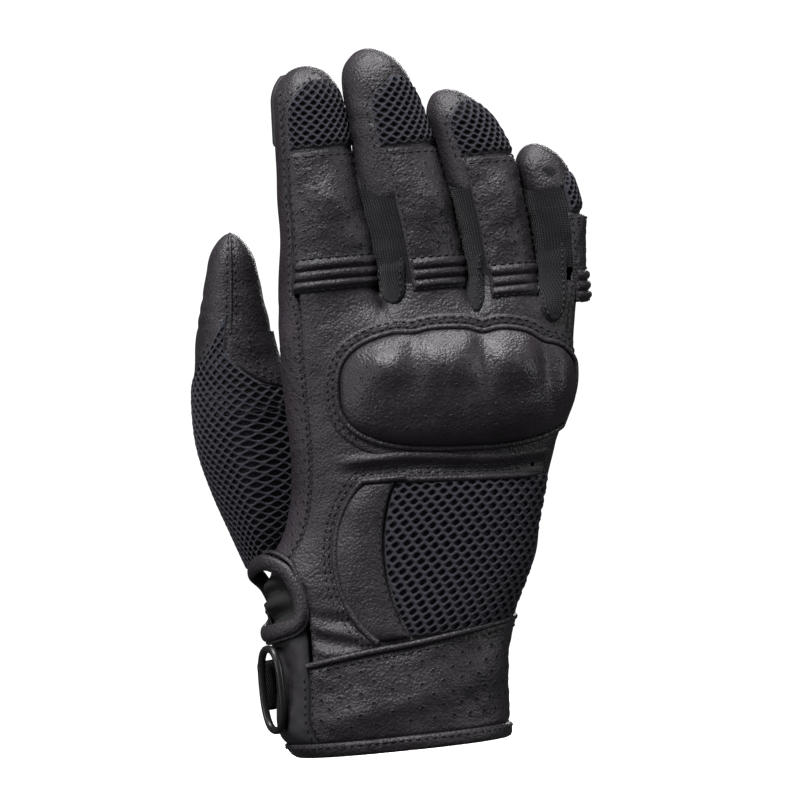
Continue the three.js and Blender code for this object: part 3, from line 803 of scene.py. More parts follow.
def area_light(name, position, target, size, watts):
    data = bpy.data.lights.new(name, "AREA")
    data.energy = watts
    data.size = size
    obj = bpy.data.objects.new(name, data)
    bpy.context.scene.collection.objects.link(obj)
    towards = Matrix.Translation(position).to_translation() - Matrix.Translation(target).to_translation()
    obj.rotation_euler = towards.to_track_quat("Z", "Y").to_euler()
    obj.location = position


# ---- Hand shell -----------------------------------------------------------------------------
def around_hand(angle, z, offset):
    return hand_point(z, angle, offset)


def rib_height(x):
    """Height of the upper flex rib: the row of ribs slopes down towards the little finger."""
    return 170 - 0.1 * (x + 6.4) - 0.1 * np.maximum(x - 30, 0)


def left_edge(z):
    return mix(VENT["angle"] - VENT["half_angle"] - 3, STRIP_SEAM + 3, ease(z, 58, 66))


def back_surface(u, v, offset):
    """The back panel: u runs from the little finger side to the thumb side, v up the hand."""
    rough_angle = mix(SIDE_SEAM, STRIP_SEAM + 3, u)
    x = HAND.point(155.0, rough_angle, 0.0)[..., 0]
    top = np.minimum(rib_height(x) - 0.2, BACK_TOP)
    z = mix(cuff_seam(mix(SIDE_SEAM, left_edge(40), u)), top, v)
    return hand_point(z, mix(SIDE_SEAM, left_edge(z), u), offset)


def back_relief(u, v, points):
    x, z = points[..., 0], points[..., 2]
    fold = 101.5 - 0.06 * x + 0.8 * np.sin(x / 9)
    under_guard = ease(x, -14, -2) * (1 - ease(x, 66, 76))
    relief = under_guard * (1.5 * bell(z, fold, 1.7) - 0.9 * bell(z, fold - 4.2, 2.0))
    low_folds = (1 - ease(z, 44, 56)) * (1 - ease(x, -4, 14))
    relief = relief + 0.8 * low_folds * np.sin((z + 0.45 * x) * 0.75 + 0.8 * np.sin(x / 5))
    relief = relief + 0.45 * ripple(x, z, 26, 3) + 0.18 * ripple(x, z, 9, 4)
    under_ribs = ease(z, rib_height(x) - 8, rib_height(x) - 6.5)
    return mix(relief, -0.5, under_ribs)


def palm_surface(u, v, offset):
    z = mix(cuff_seam(mix(SLIT_PALM, OUTER_SEAM, u)), HAND_TOP - 0.5, v)
    start = mix(mix(SLIT_PALM, PALM_SEAM, ease(z, 53, 62)), THUMB_SEAM + 1, ease(z, 130, 144))
    return hand_point(z, mix(start, OUTER_SEAM, u), offset)


def palm_relief(u, v, points):
    x, z = points[..., 0], points[..., 2]
    crease = np.sin((z - 0.5 * x) / 7) ** 8
    return 0.6 * ripple(x, z, 30, 11) - 0.7 * crease * ease(z, 80, 95) + 0.2 * ripple(x, z, 8, 12)


def side_surface(u, s, offset):
    """The smooth leather that runs up the thumb side of the hand and on up the index finger."""
    hand = hand_point(s, mix(STRIP_SEAM + 0.4, THUMB_SEAM, u), offset)
    limb = finger_surface(FINGERS[0])(mix(FINGERS[0]["back"][1] + 1.5, 225, u), s, offset)
    return mix(hand, limb, ease(s, SIDE_SPLIT, 168)[..., None])


def side_relief(u, s, points):
    return 0.3 * ripple(points[..., 1] * 1.5, s, 22, 21)


def build_hand():
    across, up = lines(0, 1, 1 / 110), lines(0, 1, 1 / 120)
    back = panel("back_of_hand", back_surface, across, up, LEATHER, relief=back_relief)
    place(back, replaces=["back_panel"])
    palm = panel("palm", palm_surface, lines(0, 1, 1 / 80), lines(0, 1, 1 / 90), LEATHER, relief=palm_relief)
    place(palm, replaces=["palm_panel"])

    strip_low = VENT["z"] + VENT["half_height"] + 3
    strip = panel(
        "thumb_side_strip", side_surface, lines(0, 1, 1 / 50), lines(strip_low, SIDE_SPLIT, 1.0),
        STRIP_LEATHER, lift=0.5, wall=1.6, rolled="lrb", relief=side_relief)
    place(strip, replaces=["side_strip"])
    us, heights = staggered(0.12, 0.8, strip_low + 6, SIDE_SPLIT, 0.2, 3.6)
    place(perforations("thumb_side_holes", side_surface, us, heights, STRIP_LEATHER, on=[strip], radius=0.55))
    edge = lines(strip_low + 1, SIDE_SPLIT, 1)
    sew("thumb_side_stitches", side_surface, [(0 * edge + 0.05, edge)], on=[strip])

    side = panel("outer_side", around_hand, lines(341.0, 379.5, 1.2), lines(36.5, 163, 1.2), LEATHER,
                 lift=-0.4, relief=lambda a, z, p: 0.5 * ripple(p[..., 1] * 1.3, z, 20, 31))
    place(side, replaces=["outer_side_panel"])

    heel = panel("palm_heel_pad", around_hand, lines(254, 322, 1.4), lines(52, 96, 1.2), LEATHER, lift=1.2,
                 wall=1.0, relief=lambda a, z, p: 1.2 + 0.3 * ripple(p[..., 0], z, 9, 41))
    place(heel, replaces=["palm_reinforcement"])

    edge = lines(0, 1, 0.01)
    surface_rows = [(0 * edge + 0.985, edge), (0 * edge + 0.015, edge)]
    sew("back_edge_stitches", back_surface, surface_rows, on=[back])
    palm_rows = [(0 * edge + 0.02, edge), (0 * edge + 0.98, edge)]
    sew("palm_edge_stitches", palm_surface, palm_rows, on=[palm])
    across, up = lines(257, 319, 1), lines(54, 94, 1)
    sew("heel_stitches", around_hand, [(across, 54.0), (across, 94.0), (257.0, up), (319.0, up)], on=[heel])


# ---- Knuckle guard --------------------------------------------------------------------------
GUARD_CREASES = [(-14.8, 1.0), (9.3, 1.7), (30.4, 2.2)]
GUARD_LOBES = [(-25, 8.5, 8), (-2, 8, 8.5), (20, 7, 8), (35.5, 2, 5)]
GUARD_POWER = 0.72


def guard_rise(p):
    """Half the guard's height at p, with scallops between the lobes."""
    return GUARD["half_height"] - sum(depth * bell(p, middle, 4.2) for middle, depth in GUARD_CREASES)


def guard_place(p, q, height):
    """p runs across the knuckles and q up from the middle of the guard."""
    cosine, sine = math.cos(GUARD["tilt"]), math.sin(GUARD["tilt"])
    x = GUARD["x"] + p * cosine + q * sine
    z = GUARD["z"] - p * sine + q * cosine
    middle, _, width, _ = HAND.at(z)
    return back_point(np.minimum(x, middle + 0.975 * width), z, height)


def guard_height(p, q):
    rise = np.where(q > 0, guard_rise(p), GUARD["half_height"])
    norm = 2 / GUARD_POWER
    reach = np.clip((np.abs(p / GUARD["half_width"]) ** norm + np.abs(q / rise) ** norm) ** (1 / norm), 0, 1)
    height = 1.0 + (GUARD["height"] - 2.6) * (1 - reach ** 2.7) ** 0.66
    inside = 1 - ease(reach, 0.6, 1.0)
    for middle, depth in GUARD_CREASES:
        height = height - 0.95 * depth * bell(p, middle, 3.4) * ease(q, -6, 9) * (1 - reach ** 8)
    height = height - 1.5 * bell(p, GUARD_CREASES[2][0], 2.6) * inside
    for middle, level, width in GUARD_LOBES:
        height = height + 1.9 * bell(p, middle, width) * bell(q, level, 7.5) * inside
    return height


def guard_outline(turn):
    angle = np.radians(turn)
    p = power(np.cos(angle), GUARD_POWER) * GUARD["half_width"]
    q = power(np.sin(angle), GUARD_POWER) * np.where(np.sin(angle) > 0, guard_rise(p), GUARD["half_height"])
    return p, q


def guard_surface(turn, reach, offset):
    p, q = guard_outline(turn)
    return guard_place(p * reach, q * reach, guard_height(p * reach, q * reach) + offset)


def guard_border(turn, distance, offset):
    """The leather round the guard, at a distance from the guard's edge."""
    p, q = guard_outline(turn)
    step = 2.0
    after, before = guard_outline(turn + step), guard_outline(turn - step)
    across, up = after[1] - before[1], before[0] - after[0]
    length = np.hypot(across, up)
    return guard_place(p + across / length * distance, q + up / length * distance, offset)


def build_guard():
    turns = np.linspace(360, 0, 260, endpoint=False)
    reach = np.concatenate([np.linspace(0, 0.8, 26), np.linspace(0.82, 1.0, 16)])
    cover = panel("knuckle_guard", guard_surface, turns, reach, GUARD_LEATHER, wall=0.8, rolled="t", roll=0.5,
                  closed=True, relief=lambda t, r, p: 0.14 * ripple(p[..., 0], p[..., 2], 7, 51))
    place(cover, replaces=["knuckle_cover"])
    shell = panel("knuckle_shell_inner", lambda t, r, o: guard_surface(t, 0.93 * r, o), turns[::3],
                  reach[::2], PLASTIC, lift=-1.3, wall=1.4, closed=True, rolled="")
    place(shell, replaces=["knuckle_shell"])
    foam = panel("knuckle_foam_inner", lambda t, r, o: guard_border(t, 0 * r - 6.5 * (1 - r), o), turns[::3],
                 reach[::2], LINING, lift=0.9, wall=0.8, closed=True, rolled="")
    place(foam, replaces=["knuckle_foam"])
    rim = guard_border(turns, 0.7 + 0 * turns, 1.1 + 0 * turns)
    place(tube("guard_rim", rim, 1.0, LEATHER, flatten=0.9))
    border = panel("guard_border", guard_border, turns, np.linspace(0.3, 5.4, 12), LEATHER, lift=0.75,
                   closed=True, rolled="t", roll=0.6, roll_width=1.2, wall=0.6)
    place(border)
    loop = np.linspace(12, 218, 400)
    rows = [(loop, 0 * loop + 2.5), (loop, 0 * loop + 4.2)]
    sew("guard_stitches", guard_border, rows, on=[border])
    p, q = staggered(-35, 36, -13.5, 11, 4.3, 3.6)
    keep = (np.abs(p / 37) ** 2.8 + np.abs(q / 17) ** 2.8) < 0.92

    def over_guard(p, q, offset):
        return guard_place(p, q, guard_height(p, q) + offset)
    place(perforations("guard_holes", over_guard, p[keep], q[keep], GUARD_LEATHER, on=[cover], radius=0.33))


# ---- Padded back panel ----------------------------------------------------------------------
def pad_z(v, left):
    """The pad's lower edge follows the cuff seam."""
    low = 38.0 + 2.2 * (1 - left)
    return mix(low, PAD["top"] - 3.5 * (1 - left), v)


def pad_left(v):
    return PAD["x"] - PAD["left_arc"] * power(np.sin(math.pi * mix(0.08, 0.92, v)), 0.42)


def pad_seam(v):
    return 11 - 9.2 * power(np.sin(math.pi * mix(0.03, 0.97, v)), 0.6)


def pad_right(v):
    z = mix(40, PAD["top"], v)
    cx, _, width, _ = HAND.at(z)
    return cx + width * 0.965


def pad_surface(left, right, height):
    """A raised pad between two curves; u 0 is the right-hand one."""
    def surface(u, v, offset):
        x = mix(right(v), left(v), u)
        z = pad_z(v, ease(x, 60, -10))
        inside_u, inside_v = np.clip(u, 0, 1), np.clip(v, 0, 1)
        crown = (16 * inside_u * (1 - inside_u) * inside_v * (1 - inside_v)) ** 0.4
        return back_point(x, z, 0.8 + height * crown + offset)
    return surface


def build_pad():
    crescent_surface = pad_surface(pad_left, pad_seam, 2.9)
    crescent = panel("back_pad_leather", crescent_surface, lines(0, 1, 1 / 36), lines(0, 1, 1 / 70), LEATHER,
                     wall=0.9, roll=1.0, relief=lambda u, v, p: 0.3 * ripple(p[..., 0], p[..., 2], 12, 61))
    place(crescent, replaces=["pad_leather"])
    mesh_surface = pad_surface(lambda v: pad_seam(v) + 0.6, pad_right, 3.0)
    pad = panel("back_pad_mesh", mesh_surface, lines(0, 1, 1 / 220), lines(0, 1, 1 / 190), MESH, wall=1.2,
                roll=1.0, pit=cells(4.0, 2.4, 1.45, 1.15, 1.4))
    place(pad, replaces=["pad_mesh", "pad_foam"])
    along = lines(0, 1, 0.01)
    sew("pad_stitches", crescent_surface, [(0 * along + 0.07, along)], on=[crescent])
    # A welt and two rows of stitches follow the crescent and run on along the top.
    down = lines(1, 0, 0.02)
    corner = lines(12, pad_left(1.0) + 0.5, 1.0)
    top = lines(pad_right(1.0) - 2.5, 13, 1.5)
    x = np.concatenate([top, corner, pad_left(down)])
    top_z, corner_z = pad_z(1.0, ease(top, 60, -10)) + 0.2, 0 * corner + PAD["top"] + 0.2
    z = np.concatenate([top_z, corner_z, pad_z(down, 1.0)])
    welt = back_point(x, z, 1.4 - 2.4 * ease(x, pad_right(1.0) - 9, pad_right(1.0) - 2.5))
    place(tube("pad_welt", welt, 1.15, LEATHER, closed=False, sides=8))

    def at(run):
        """The place on the welt at a running number of its points."""
        return np.stack([np.interp(run, np.arange(len(x)), row) for row in (x, z)])

    def beside(run, distance, offset):
        """Beside the welt, on the hand."""
        here, way = at(run), at(run + 1) - at(run - 1)
        way = way / np.linalg.norm(way, axis=0)
        return back_point(here[0] + way[1] * distance, here[1] - way[0] * distance, offset)

    run = lines(1, len(x) - 2, 0.5)
    run = run[run > 4]
    rows = [(run, 0 * run + 2.4), (run, 0 * run + 4.2)]
    sew("pad_border_stitches", beside, rows, on=[bpy.data.objects["back_of_hand"]])


# ---- Fingers --------------------------------------------------------------------------------
BEND = 6.0  # the height range listed for a joint's bend reaches this far to either side of its hinge
RIB_PITCH, RIB_HALF, RIB_RISE = 3.6, 1.55, 1.15
KNUCKLE_RISE = 2.3
PALM_SIDE = (225, 338)  # the angles that the leather on the palm side of a finger spans


def finger_surface(finger):
    """The finger's surface: below the web its back lies on the hand."""
    limb, dome = finger["limb"], finger["dome"]

    def surface(angle, s, offset):
        points = limb.capped(s, angle, offset, dome)
        x, z = points[..., 0], points[..., 2]
        middle, _, width, _ = HAND.at(z)
        inside = 1 - ease(np.abs(x - middle) / width, 0.86, 0.97)
        share = np.where(points[..., 1] < 0, 1 - ease(z, 157, 164), 0) * inside
        points[..., 1] = mix(points[..., 1], back_y(x, z) - offset, share)
        return points
    return surface


def finger_parts(finger):
    """The heights that split a finger, and how each stretch bends."""
    name, base, pip, dip = (finger[key] for key in ("name", "base", "pip", "dip"))
    first = (base + pip) / 2
    second = (pip + dip) / 2
    return [
        ("lower", base, first, ("hand", f"{name}_proximal", base, first)),
        ("mid", first, second,
         (f"{name}_proximal", f"{name}_middle", max(pip - BEND, first), min(pip + BEND, second))),
        ("upper", second, finger["top"],
         (f"{name}_middle", f"{name}_distal", max(dip - BEND, second), dip + BEND)),
    ]


def roll_shape(s, middle, half):
    """The round back of a stitched-down roll."""
    return np.sqrt(np.clip(1 - ((s - middle) / half) ** 2, 0, 1))


def back_folds(finger, rib, seed):
    """The back panel's relief: three rolled ribs, a padded knuckle and fine creases."""
    low, high = finger["back"]
    middle = (low + high) / 2
    outer = 30 if finger["name"] == "little" else 0

    def relief(a, s, p):
        ribs = sum(roll_shape(s, rib + 0.9 - row * RIB_PITCH, RIB_HALF) for row in range(3))
        ribs = RIB_RISE * ribs * ease(a, low + outer, low + outer + 12) * (1 - ease(a, high - 9, high))
        knuckle = KNUCKLE_RISE * bell(s, finger["pip"] + 6, 8) * bell(a, middle, 24)
        above = ease(s, rib + 3, rib + 7)
        creases = 0.35 * ripple(a / 5, s, 12, seed) + 0.12 * ripple(a / 6, s, 5, seed + 5)
        sunk = 0.6 * (1 - ease(a, low, low + outer + 1)) * (outer > 0)
        return ribs + (knuckle + creases) * above - sunk
    return relief


def build_skin(finger, surface, part, low, high, bend, seed):
    """The full tube of a stretch: knit below the fingertip, leather above."""
    name, cap = finger["name"], finger["cap"]
    ring = np.linspace(0, 360, 96, endpoint=False)
    nodes = {"lower": [f"{name}_proximal_underside"], "mid": [f"{name}_middle_underside"], "upper": []}[part]

    def relief(a, s, p):
        bulge = finger["bulge"] * bell(a, 180, 26) * ease(s, 160, 172) * (1 - ease(s, cap - 6, cap + 10))
        smooth_end = 1 - ease(s, finger["top"] - 8, finger["top"])
        return bulge + 0.25 * ripple(p[..., 0], s, 9, seed + 1) * smooth_end

    def slanting(a, s, offset):
        """The leather's lower edge hangs up to 7 mm lower on the back than on the palm side."""
        reach = 7 * (1 + np.cos(np.radians(a - 105))) / 2
        return surface(a, s - reach * (1 - ease(s, cap - 1, cap + 10)), offset)

    start = low - 0.5 if part == "lower" else low
    if low < cap:
        piece = panel(f"{name}_knit_{part}", surface, ring, lines(start, min(high, cap), 0.8), KNIT,
                      closed=True, rolled="", relief=relief)
        place(piece, bend=bend, replaces=nodes)
    if high > cap:
        piece = panel(f"{name}_leather_{part}", slanting, ring, lines(max(low, cap) - 1, high, 0.8), LEATHER,
                      lift=0.25, closed=True, rolled="b", roll=0.3, roll_width=1.0, relief=relief)
        place(piece, bend=bend, replaces=nodes + ([f"{name}_tip"] if part == "upper" else []))


def build_back(finger, surface, part, low, high, bend, rib, seed):
    """The perforated leather on the back of a stretch."""
    name = finger["name"]
    right, left = finger["back"]
    low = rib - 8.6 if part == "lower" else low
    high = min(high, finger["seam"] + 0.6)
    if high < low + 2:
        return
    ends = ("b" if part == "lower" else "") + ("t" if high > finger["seam"] else "")
    back = panel(f"{name}_back_{part}", surface, lines(right, left, 2.0), lines(low, high, 0.45), LEATHER,
                 lift=0.6, wall=1.4, relief=back_folds(finger, rib, seed), rolled="lr" + ends, roll=0.6,
                 roll_width=1.1)
    nodes = {"lower": [f"{name}_flex_ribs", f"{name}_proximal_back"],
             "mid": [f"{name}_middle_back"], "upper": []}
    place(back, bend=bend, replaces=nodes[part])

    edge = np.linspace(low + 0.5, high - 0.4, 40)
    across = lines(right + 6, left - 6, 2)
    rows = [(right + 6.0, edge), (left - 6.0, edge)]
    if "t" in ends:
        rows.append((across, finger["seam"] - 1.4))
    if part == "lower":
        rows += [(across, rib - 8.0), (across, rib + 3.2)]
    sew(f"{name}_stitches_{part}", surface, rows, bend=bend, on=[back])

    holes_low, holes_high = max(low + 1.0, rib + 6), high - (3.4 if "t" in ends else 0.6)
    if holes_high > holes_low:
        angles, heights = staggered(right + 16, left - 12, holes_low, holes_high, 21, 3.4)
        holes = perforations(f"{name}_holes_{part}", surface, angles, heights, LEATHER, on=[back], radius=0.6)
        place(holes, bend=bend)


def patch_angle(finger, u, v):
    """The angle at a place on the fingertip's mesh patch, whose upper end is arched."""
    right, left = finger["patch"]
    narrow = 1 - 0.8 * np.clip((v - 0.45) / 0.55, 0, 1) ** 3
    return mix(right, left, (1 + u * narrow) / 2)


def patch_along(finger, u, v):
    """The way across the patch in millimetres, on a finger of this radius."""
    radius = 12.5
    return np.radians(patch_angle(finger, u, v)) * radius


def patch_surface(finger, surface):
    def arched(u, v, offset):
        s = mix(finger["seam"] + 0.8, finger["patch_top"], v)
        return surface(patch_angle(finger, u, v), s, offset)
    return arched


def build_finger(finger, index):
    name = finger["name"]
    surface = finger_surface(finger)
    rib = float(rib_height(finger["rows"][0][1]))
    seed = 100 + 10 * index
    parts = finger_parts(finger)
    for part, low, high, bend in parts:
        build_skin(finger, surface, part, low, high, bend, seed)
        build_back(finger, surface, part, low, high, bend, rib, seed)
        if part != "upper":
            start = low - 5 if part == "lower" else low
            palm = panel(f"{name}_palm_{part}", surface, lines(*PALM_SIDE, 2.6), lines(start, high, 0.8),
                         LEATHER, lift=0.6, wall=1.0, rolled="lr",
                         relief=lambda a, s, p: 0.3 * ripple(p[..., 0], s, 8, seed + 2))
            place(palm, bend=bend)

    bend = parts[-1][3]
    arched = patch_surface(finger, surface)
    patch = panel(f"{name}_mesh_patch", arched, lines(-1, 1, 1 / 48), lines(0, 1, 1 / 76), MESH, lift=0.9,
                  wall=1.0, roll=1.0, relief=lambda a, s, p: 0.7 + 0 * a, pit=cells(3.0, 1.75, 1.1, 1.0, 1.0),
                  along_of=lambda u, v: patch_along(finger, u, v))
    place(patch, bend=bend, replaces=[f"{name}_tip_mesh"])
    cap = bpy.data.objects[f"{name}_leather_upper"]
    v = lines(0.0, 1.06, 0.02)
    rows = [(0 * v + 1.12, v), (0 * v - 1.12, v), (lines(-0.9, 0.9, 0.05), 1.08)]
    sew(f"{name}_tip_stitches", arched, rows, bend=bend, on=[cap])


def build_index_side():
    """The smooth leather on the thumb side of the index finger, up to the touch patch."""
    finger = FINGERS[0]
    for part, low, high, bend in finger_parts(finger):
        low = SIDE_SPLIT if part == "lower" else low
        high = min(high, finger["top"] - 9)
        side = panel(f"index_side_{part}", side_surface, lines(0, 1, 1 / 44), lines(low, high, 0.8),
                     STRIP_LEATHER, lift=0.5, wall=1.6, rolled="lrt" if part == "upper" else "lr",
                     relief=side_relief)
        place(side, bend=bend)
        edge = lines(low + 0.5, high - 0.5, 1)
        sew(f"index_side_stitches_{part}", side_surface, [(0 * edge + 0.06, edge)], bend=bend, on=[side])
    patch = panel("index_touch_patch", finger_surface(finger), lines(168, 282, 2.5),
                  lines(finger["dip"] + 3, finger["top"] - 5, 0.8), NYLON, lift=1.3, wall=1.2)
    place(patch, bend=finger_parts(finger)[-1][3], replaces=["index_touch_pad"])


# Each tongue: its lowest point, the sides of its upper end, its half width low down, the finger it follows.
TONGUES = [
    ("index_middle", (14.7, 154.8), (9.6, 19.8), 3.6, 1),
    ("middle_ring", (42.7, 149.3), (40.2, 47.2), 3.0, 2),
    ("ring_little", (69.3, 142.8), (64.6, 77.0), 4.2, 3),
]
TONGUE_TOP = 171


def build_tongues():
    """Knit tongues that run down from between two fingers onto the back of the hand."""
    for label, (x_low, z_low), (left, right), half_low, follows in TONGUES:
        def surface(u, v, offset):
            width = power(np.sin(math.pi / 2 * np.clip(0.01 + 3.2 * v, 0, 1)), 0.5)
            width = width * mix(half_low, (right - left) / 2, v)
            x = mix(x_low, (left + right) / 2, v) + u * width
            return back_point(x, mix(z_low, TONGUE_TOP, v), 1.3 - 1.6 * ease(v, 0.7, 1.0) + offset)
        tongue = panel(f"fourchette_tongue_{label}", surface, lines(-1, 1, 1 / 11), lines(0, 1, 1 / 50), KNIT,
                       wall=1.2, roll=0.8, roll_width=1.3, relief=lambda u, v, p: 0.5 * (np.abs(u) - 0.5))
        bend = finger_parts(FINGERS[follows])[0][3]
        place(tongue, bend=bend, replaces=[f"fourchette_{label}"])
        v = lines(0.08, 0.98, 0.02)
        rows = [(0 * v + 0.72, v), (0 * v - 0.72, v)]
        sew(f"tongue_stitches_{label}", surface, rows, bend=bend, on=[tongue], pitch=2.2, length=1.5)


# ---- Thumb ----------------------------------------------------------------------------------
GUSSET_ANGLES = (48, 306)  # the part of the thumb's round that its root spans


def gusset_surface(u, z, offset):
    """The thumb's root: u 0 at the side strip, 1 at the palm. It closes to the full thumb at its top."""
    body = THUMB.point(z, mix(*GUSSET_ANGLES, u), offset)
    front = hand_point(z, THUMB_SEAM + 0.0 * u, 0 * u)
    rear = hand_point(z, PALM_SEAM + 0.0 * u, 0 * u)
    is_front = (u < 0.5)[..., None]
    seam = np.where(is_front, front, rear)
    seam[..., 1] += np.where(u < 0.5, -1, 1) * offset
    near = 1 - ease(np.minimum(u, 1 - u), 0, 0.2)
    share = near * (1 - ease(z, THUMB_BASE - 16, THUMB_BASE))
    blended = body.copy()
    for axis in (0, 1):
        blended[..., axis] = mix(body[..., axis], seam[..., axis], share)
    return blended


def thumb_surface(angle, s, offset):
    """The thumb. Below the web it leans out to meet the hand."""
    points = THUMB.capped(s, angle, offset, THUMB_DOME)
    towards_hand = np.clip(np.cos(np.radians(angle)), 0, 1) ** 1.5
    points[..., 0] += 7.5 * (1 - ease(s, 126, 144)) * towards_hand
    return points


# The mesh wedge on the thumb: its right and left boundary angles at a few heights.
WEDGE_TOP = 157.5
WEDGE_RIGHT = ((122, 30), (129, 36), (132, 62), (138, 86), (144.5, 100), (WEDGE_TOP, 96))
WEDGE_LEFT = ((122, 192), (131, 190), (138, 158), (146, 124), (WEDGE_TOP, 99))


def wedge_edge(rows, z):
    return np.interp(z, *np.array(rows, float).T)


def thumb_mesh_surface(u, z, offset):
    """The mesh of the thumb from its root to the wedge's top: u 0 is next to the hand."""
    low = gusset_surface(0.52 * u, z, offset)
    high = thumb_surface(mix(wedge_edge(WEDGE_RIGHT, z), wedge_edge(WEDGE_LEFT, z), u), z, offset)
    return mix(low, high, ease(z, 116, 128)[..., None])


def thumb_mesh_along(u, z):
    """The way across the thumb's mesh in millimetres, on a thumb of this radius."""
    radius = 14.5
    low = mix(*GUSSET_ANGLES, 0.52 * u)
    high = mix(wedge_edge(WEDGE_RIGHT, z), wedge_edge(WEDGE_LEFT, z), u)
    return np.radians(mix(low, high, ease(z, 116, 128))) * radius


def build_thumb():
    base_bend = ("hand", "thumb_lower", 128, 146)
    tip_bend = ("thumb_lower", "thumb_end", 153, 166)
    root = 66.5
    mesh = panel("thumb_mesh", thumb_mesh_surface, lines(0, 1, 1 / 130), lines(root, WEDGE_TOP, 0.36), MESH,
                 lift=0.9, wall=1.0, pit=cells(3.2, 1.85, 1.15, 1.05, 1.1), roll=0.8, roll_width=1.2,
                 along_of=thumb_mesh_along)
    place(mesh, bend=base_bend, replaces=["thumb_mesh_gusset"])
    palm = panel("thumb_palm", gusset_surface, lines(0.5, 1, 0.01), lines(root, 126, 1.2), LEATHER,
                 rolled="lrb", relief=lambda u, z, p: 0.5 * ripple(p[..., 0], z, 18, 71))
    place(palm, replaces=["thumb_palm_gusset"])
    ring = np.linspace(0, 360, 110, endpoint=False)

    def thumb_folds(a, s, p):
        slants = ((0.2, 154), (-0.2, 159), (0.1, 164))
        folds = sum(bell(s + 0.03 * (a - 180) * slant, height, 1.2) for slant, height in slants)
        folds = folds * bell(a, 200, 60)
        return (0.25 * ripple(a / 6, s, 13, 73) - 0.35 * folds) * (1 - ease(s, 176, 184))

    def skin(name, low, high, bend, node):
        piece = panel(name, thumb_surface, ring, lines(low, high, 0.8), LEATHER, closed=True, rolled="",
                      relief=thumb_folds)
        place(piece, bend=bend, replaces=[node])
        return piece

    web = skin("thumb_web_leather", 122, 137, base_bend, "thumb_web")
    lower = skin("thumb_lower_skin", 137, 150, base_bend, "thumb_shell")
    upper = skin("thumb_tip_skin", 150, 186, tip_bend, "thumb_tip")

    # A separate piece of leather faces the web, from the wedge round to the palm.
    def facing_surface(u, z, offset):
        return thumb_surface(mix(wedge_edge(WEDGE_RIGHT, z) - 3, -50, u), z, offset)
    facing = panel("thumb_web_facing", facing_surface, lines(0, 1, 1 / 40), lines(127, 150, 0.7), LEATHER,
                   lift=0.7, wall=1.0, rolled="l", roll=0.6,
                   relief=lambda u, z, p: 0.5 * ripple(p[..., 1], z, 12, 75))
    place(facing, bend=base_bend)
    seam = lines(129, 149, 0.8)
    rows = [(0 * seam + 0.09, seam), (0 * seam + 0.2, seam)]
    sew("thumb_facing_stitches", facing_surface, rows, bend=base_bend, on=[facing])
    left = wedge_edge(WEDGE_LEFT, seam) + 9
    sew("thumb_wedge_stitches", thumb_surface, [(left, seam)], bend=base_bend, on=[web, lower])
    seam = lines(150.5, 184, 0.8)
    bow = 92 - 4 * (seam - 150) / 34
    rows = [(bow + 8, seam), (bow - 8, seam)]
    sew("thumb_stitches_upper", thumb_surface, rows, bend=tip_bend, on=[upper])
    ridge = thumb_surface(bow, seam, 0.1 + 0 * seam)
    place(tube("thumb_seam_upper", ridge, 0.6, LEATHER, closed=False, sides=8), bend=tip_bend)
    heights = lines(root + 2, 120, 0.9)
    sew("thumb_gusset_stitches", gusset_surface, [(0 * heights + 0.54, heights)], on=[palm])


# ---- Cuff and closure -----------------------------------------------------------------------
def cuff_surface(angle, v, offset):
    return hand_point(mix(HEM_HEIGHT - 0.4, cuff_seam(angle), v), angle, offset)


def cuff_relief(a, v, points):
    fold = 0.9 * bell(v, 0.42 + 0.14 * np.sin(a / 24), 0.17) * (1 - ease(np.abs(a - 62), 50, 68))
    return fold + 0.5 * ripple(a / 2.2, v * 30, 16, 81) + 0.2 * ripple(a / 2.2, v * 30, 7, 82)


def build_cuff():
    split = CUFF_SPLIT
    band = panel("cuff_band", cuff_surface, lines(-17, split, 1.0), lines(0, 1, 1 / 44), LEATHER, lift=0.7,
                 relief=cuff_relief)
    place(band, replaces=["cuff_band"])
    angles, rows = staggered(-10, split - 5, 0.17, 0.85, 10.5, 0.125)
    place(perforations("cuff_holes", cuff_surface, angles, rows, LEATHER, on=[band], radius=0.75))
    rear = panel("cuff_palm_side", cuff_surface, lines(SLIT_PALM, 342.6, 1.2), lines(0, 1, 1 / 34), LEATHER,
                 lift=0.2, relief=cuff_relief)
    place(rear, replaces=["cuff_palm"])
    side = panel("strap_base_panel", cuff_surface, lines(split + 0.5, SLIT_FRONT, 1.0), lines(0, 1.5, 1 / 34),
                 NYLON, lift=0.3, relief=cuff_relief)
    place(side, replaces=["strap_panel"])

    turn = lines(-17, split, 1.5)
    piping = hand_point(cuff_seam(turn) + 0.4, turn, 0.9 - 1.1 * (1 - ease(turn, 2, 26)))
    place(tube("cuff_piping", piping, 1.15, LEATHER, closed=False))
    rise = lines(0.05, 0.95, 0.02)
    rows = [(turn, 0.925), (split - 2.5, rise), (split + 3.5, rise)]
    sew("cuff_stitches", cuff_surface, rows, on=[band, side])
    sew("cuff_seam_stitches", cuff_surface, [(turn, 1.06)], on=[bpy.data.objects["back_of_hand"]])

    angles = lines(SLIT_PALM - 360, SLIT_FRONT, 1.5)
    profile = np.linspace(0, math.tau, 20, endpoint=False)

    def hem(a, t, offset):
        z = HEM_HEIGHT / 2 + power(np.sin(t), 0.7) * (HEM_HEIGHT / 2 + 0.1)
        return hand_point(z, a, 0.1 + power(np.cos(t), 0.7) * 1.7 + offset)
    build_roll("hem_binding", hem, angles, profile)
    sew("hem_stitches", around_hand, [(angles, HEM_HEIGHT - 1.3)], lift=1.75)


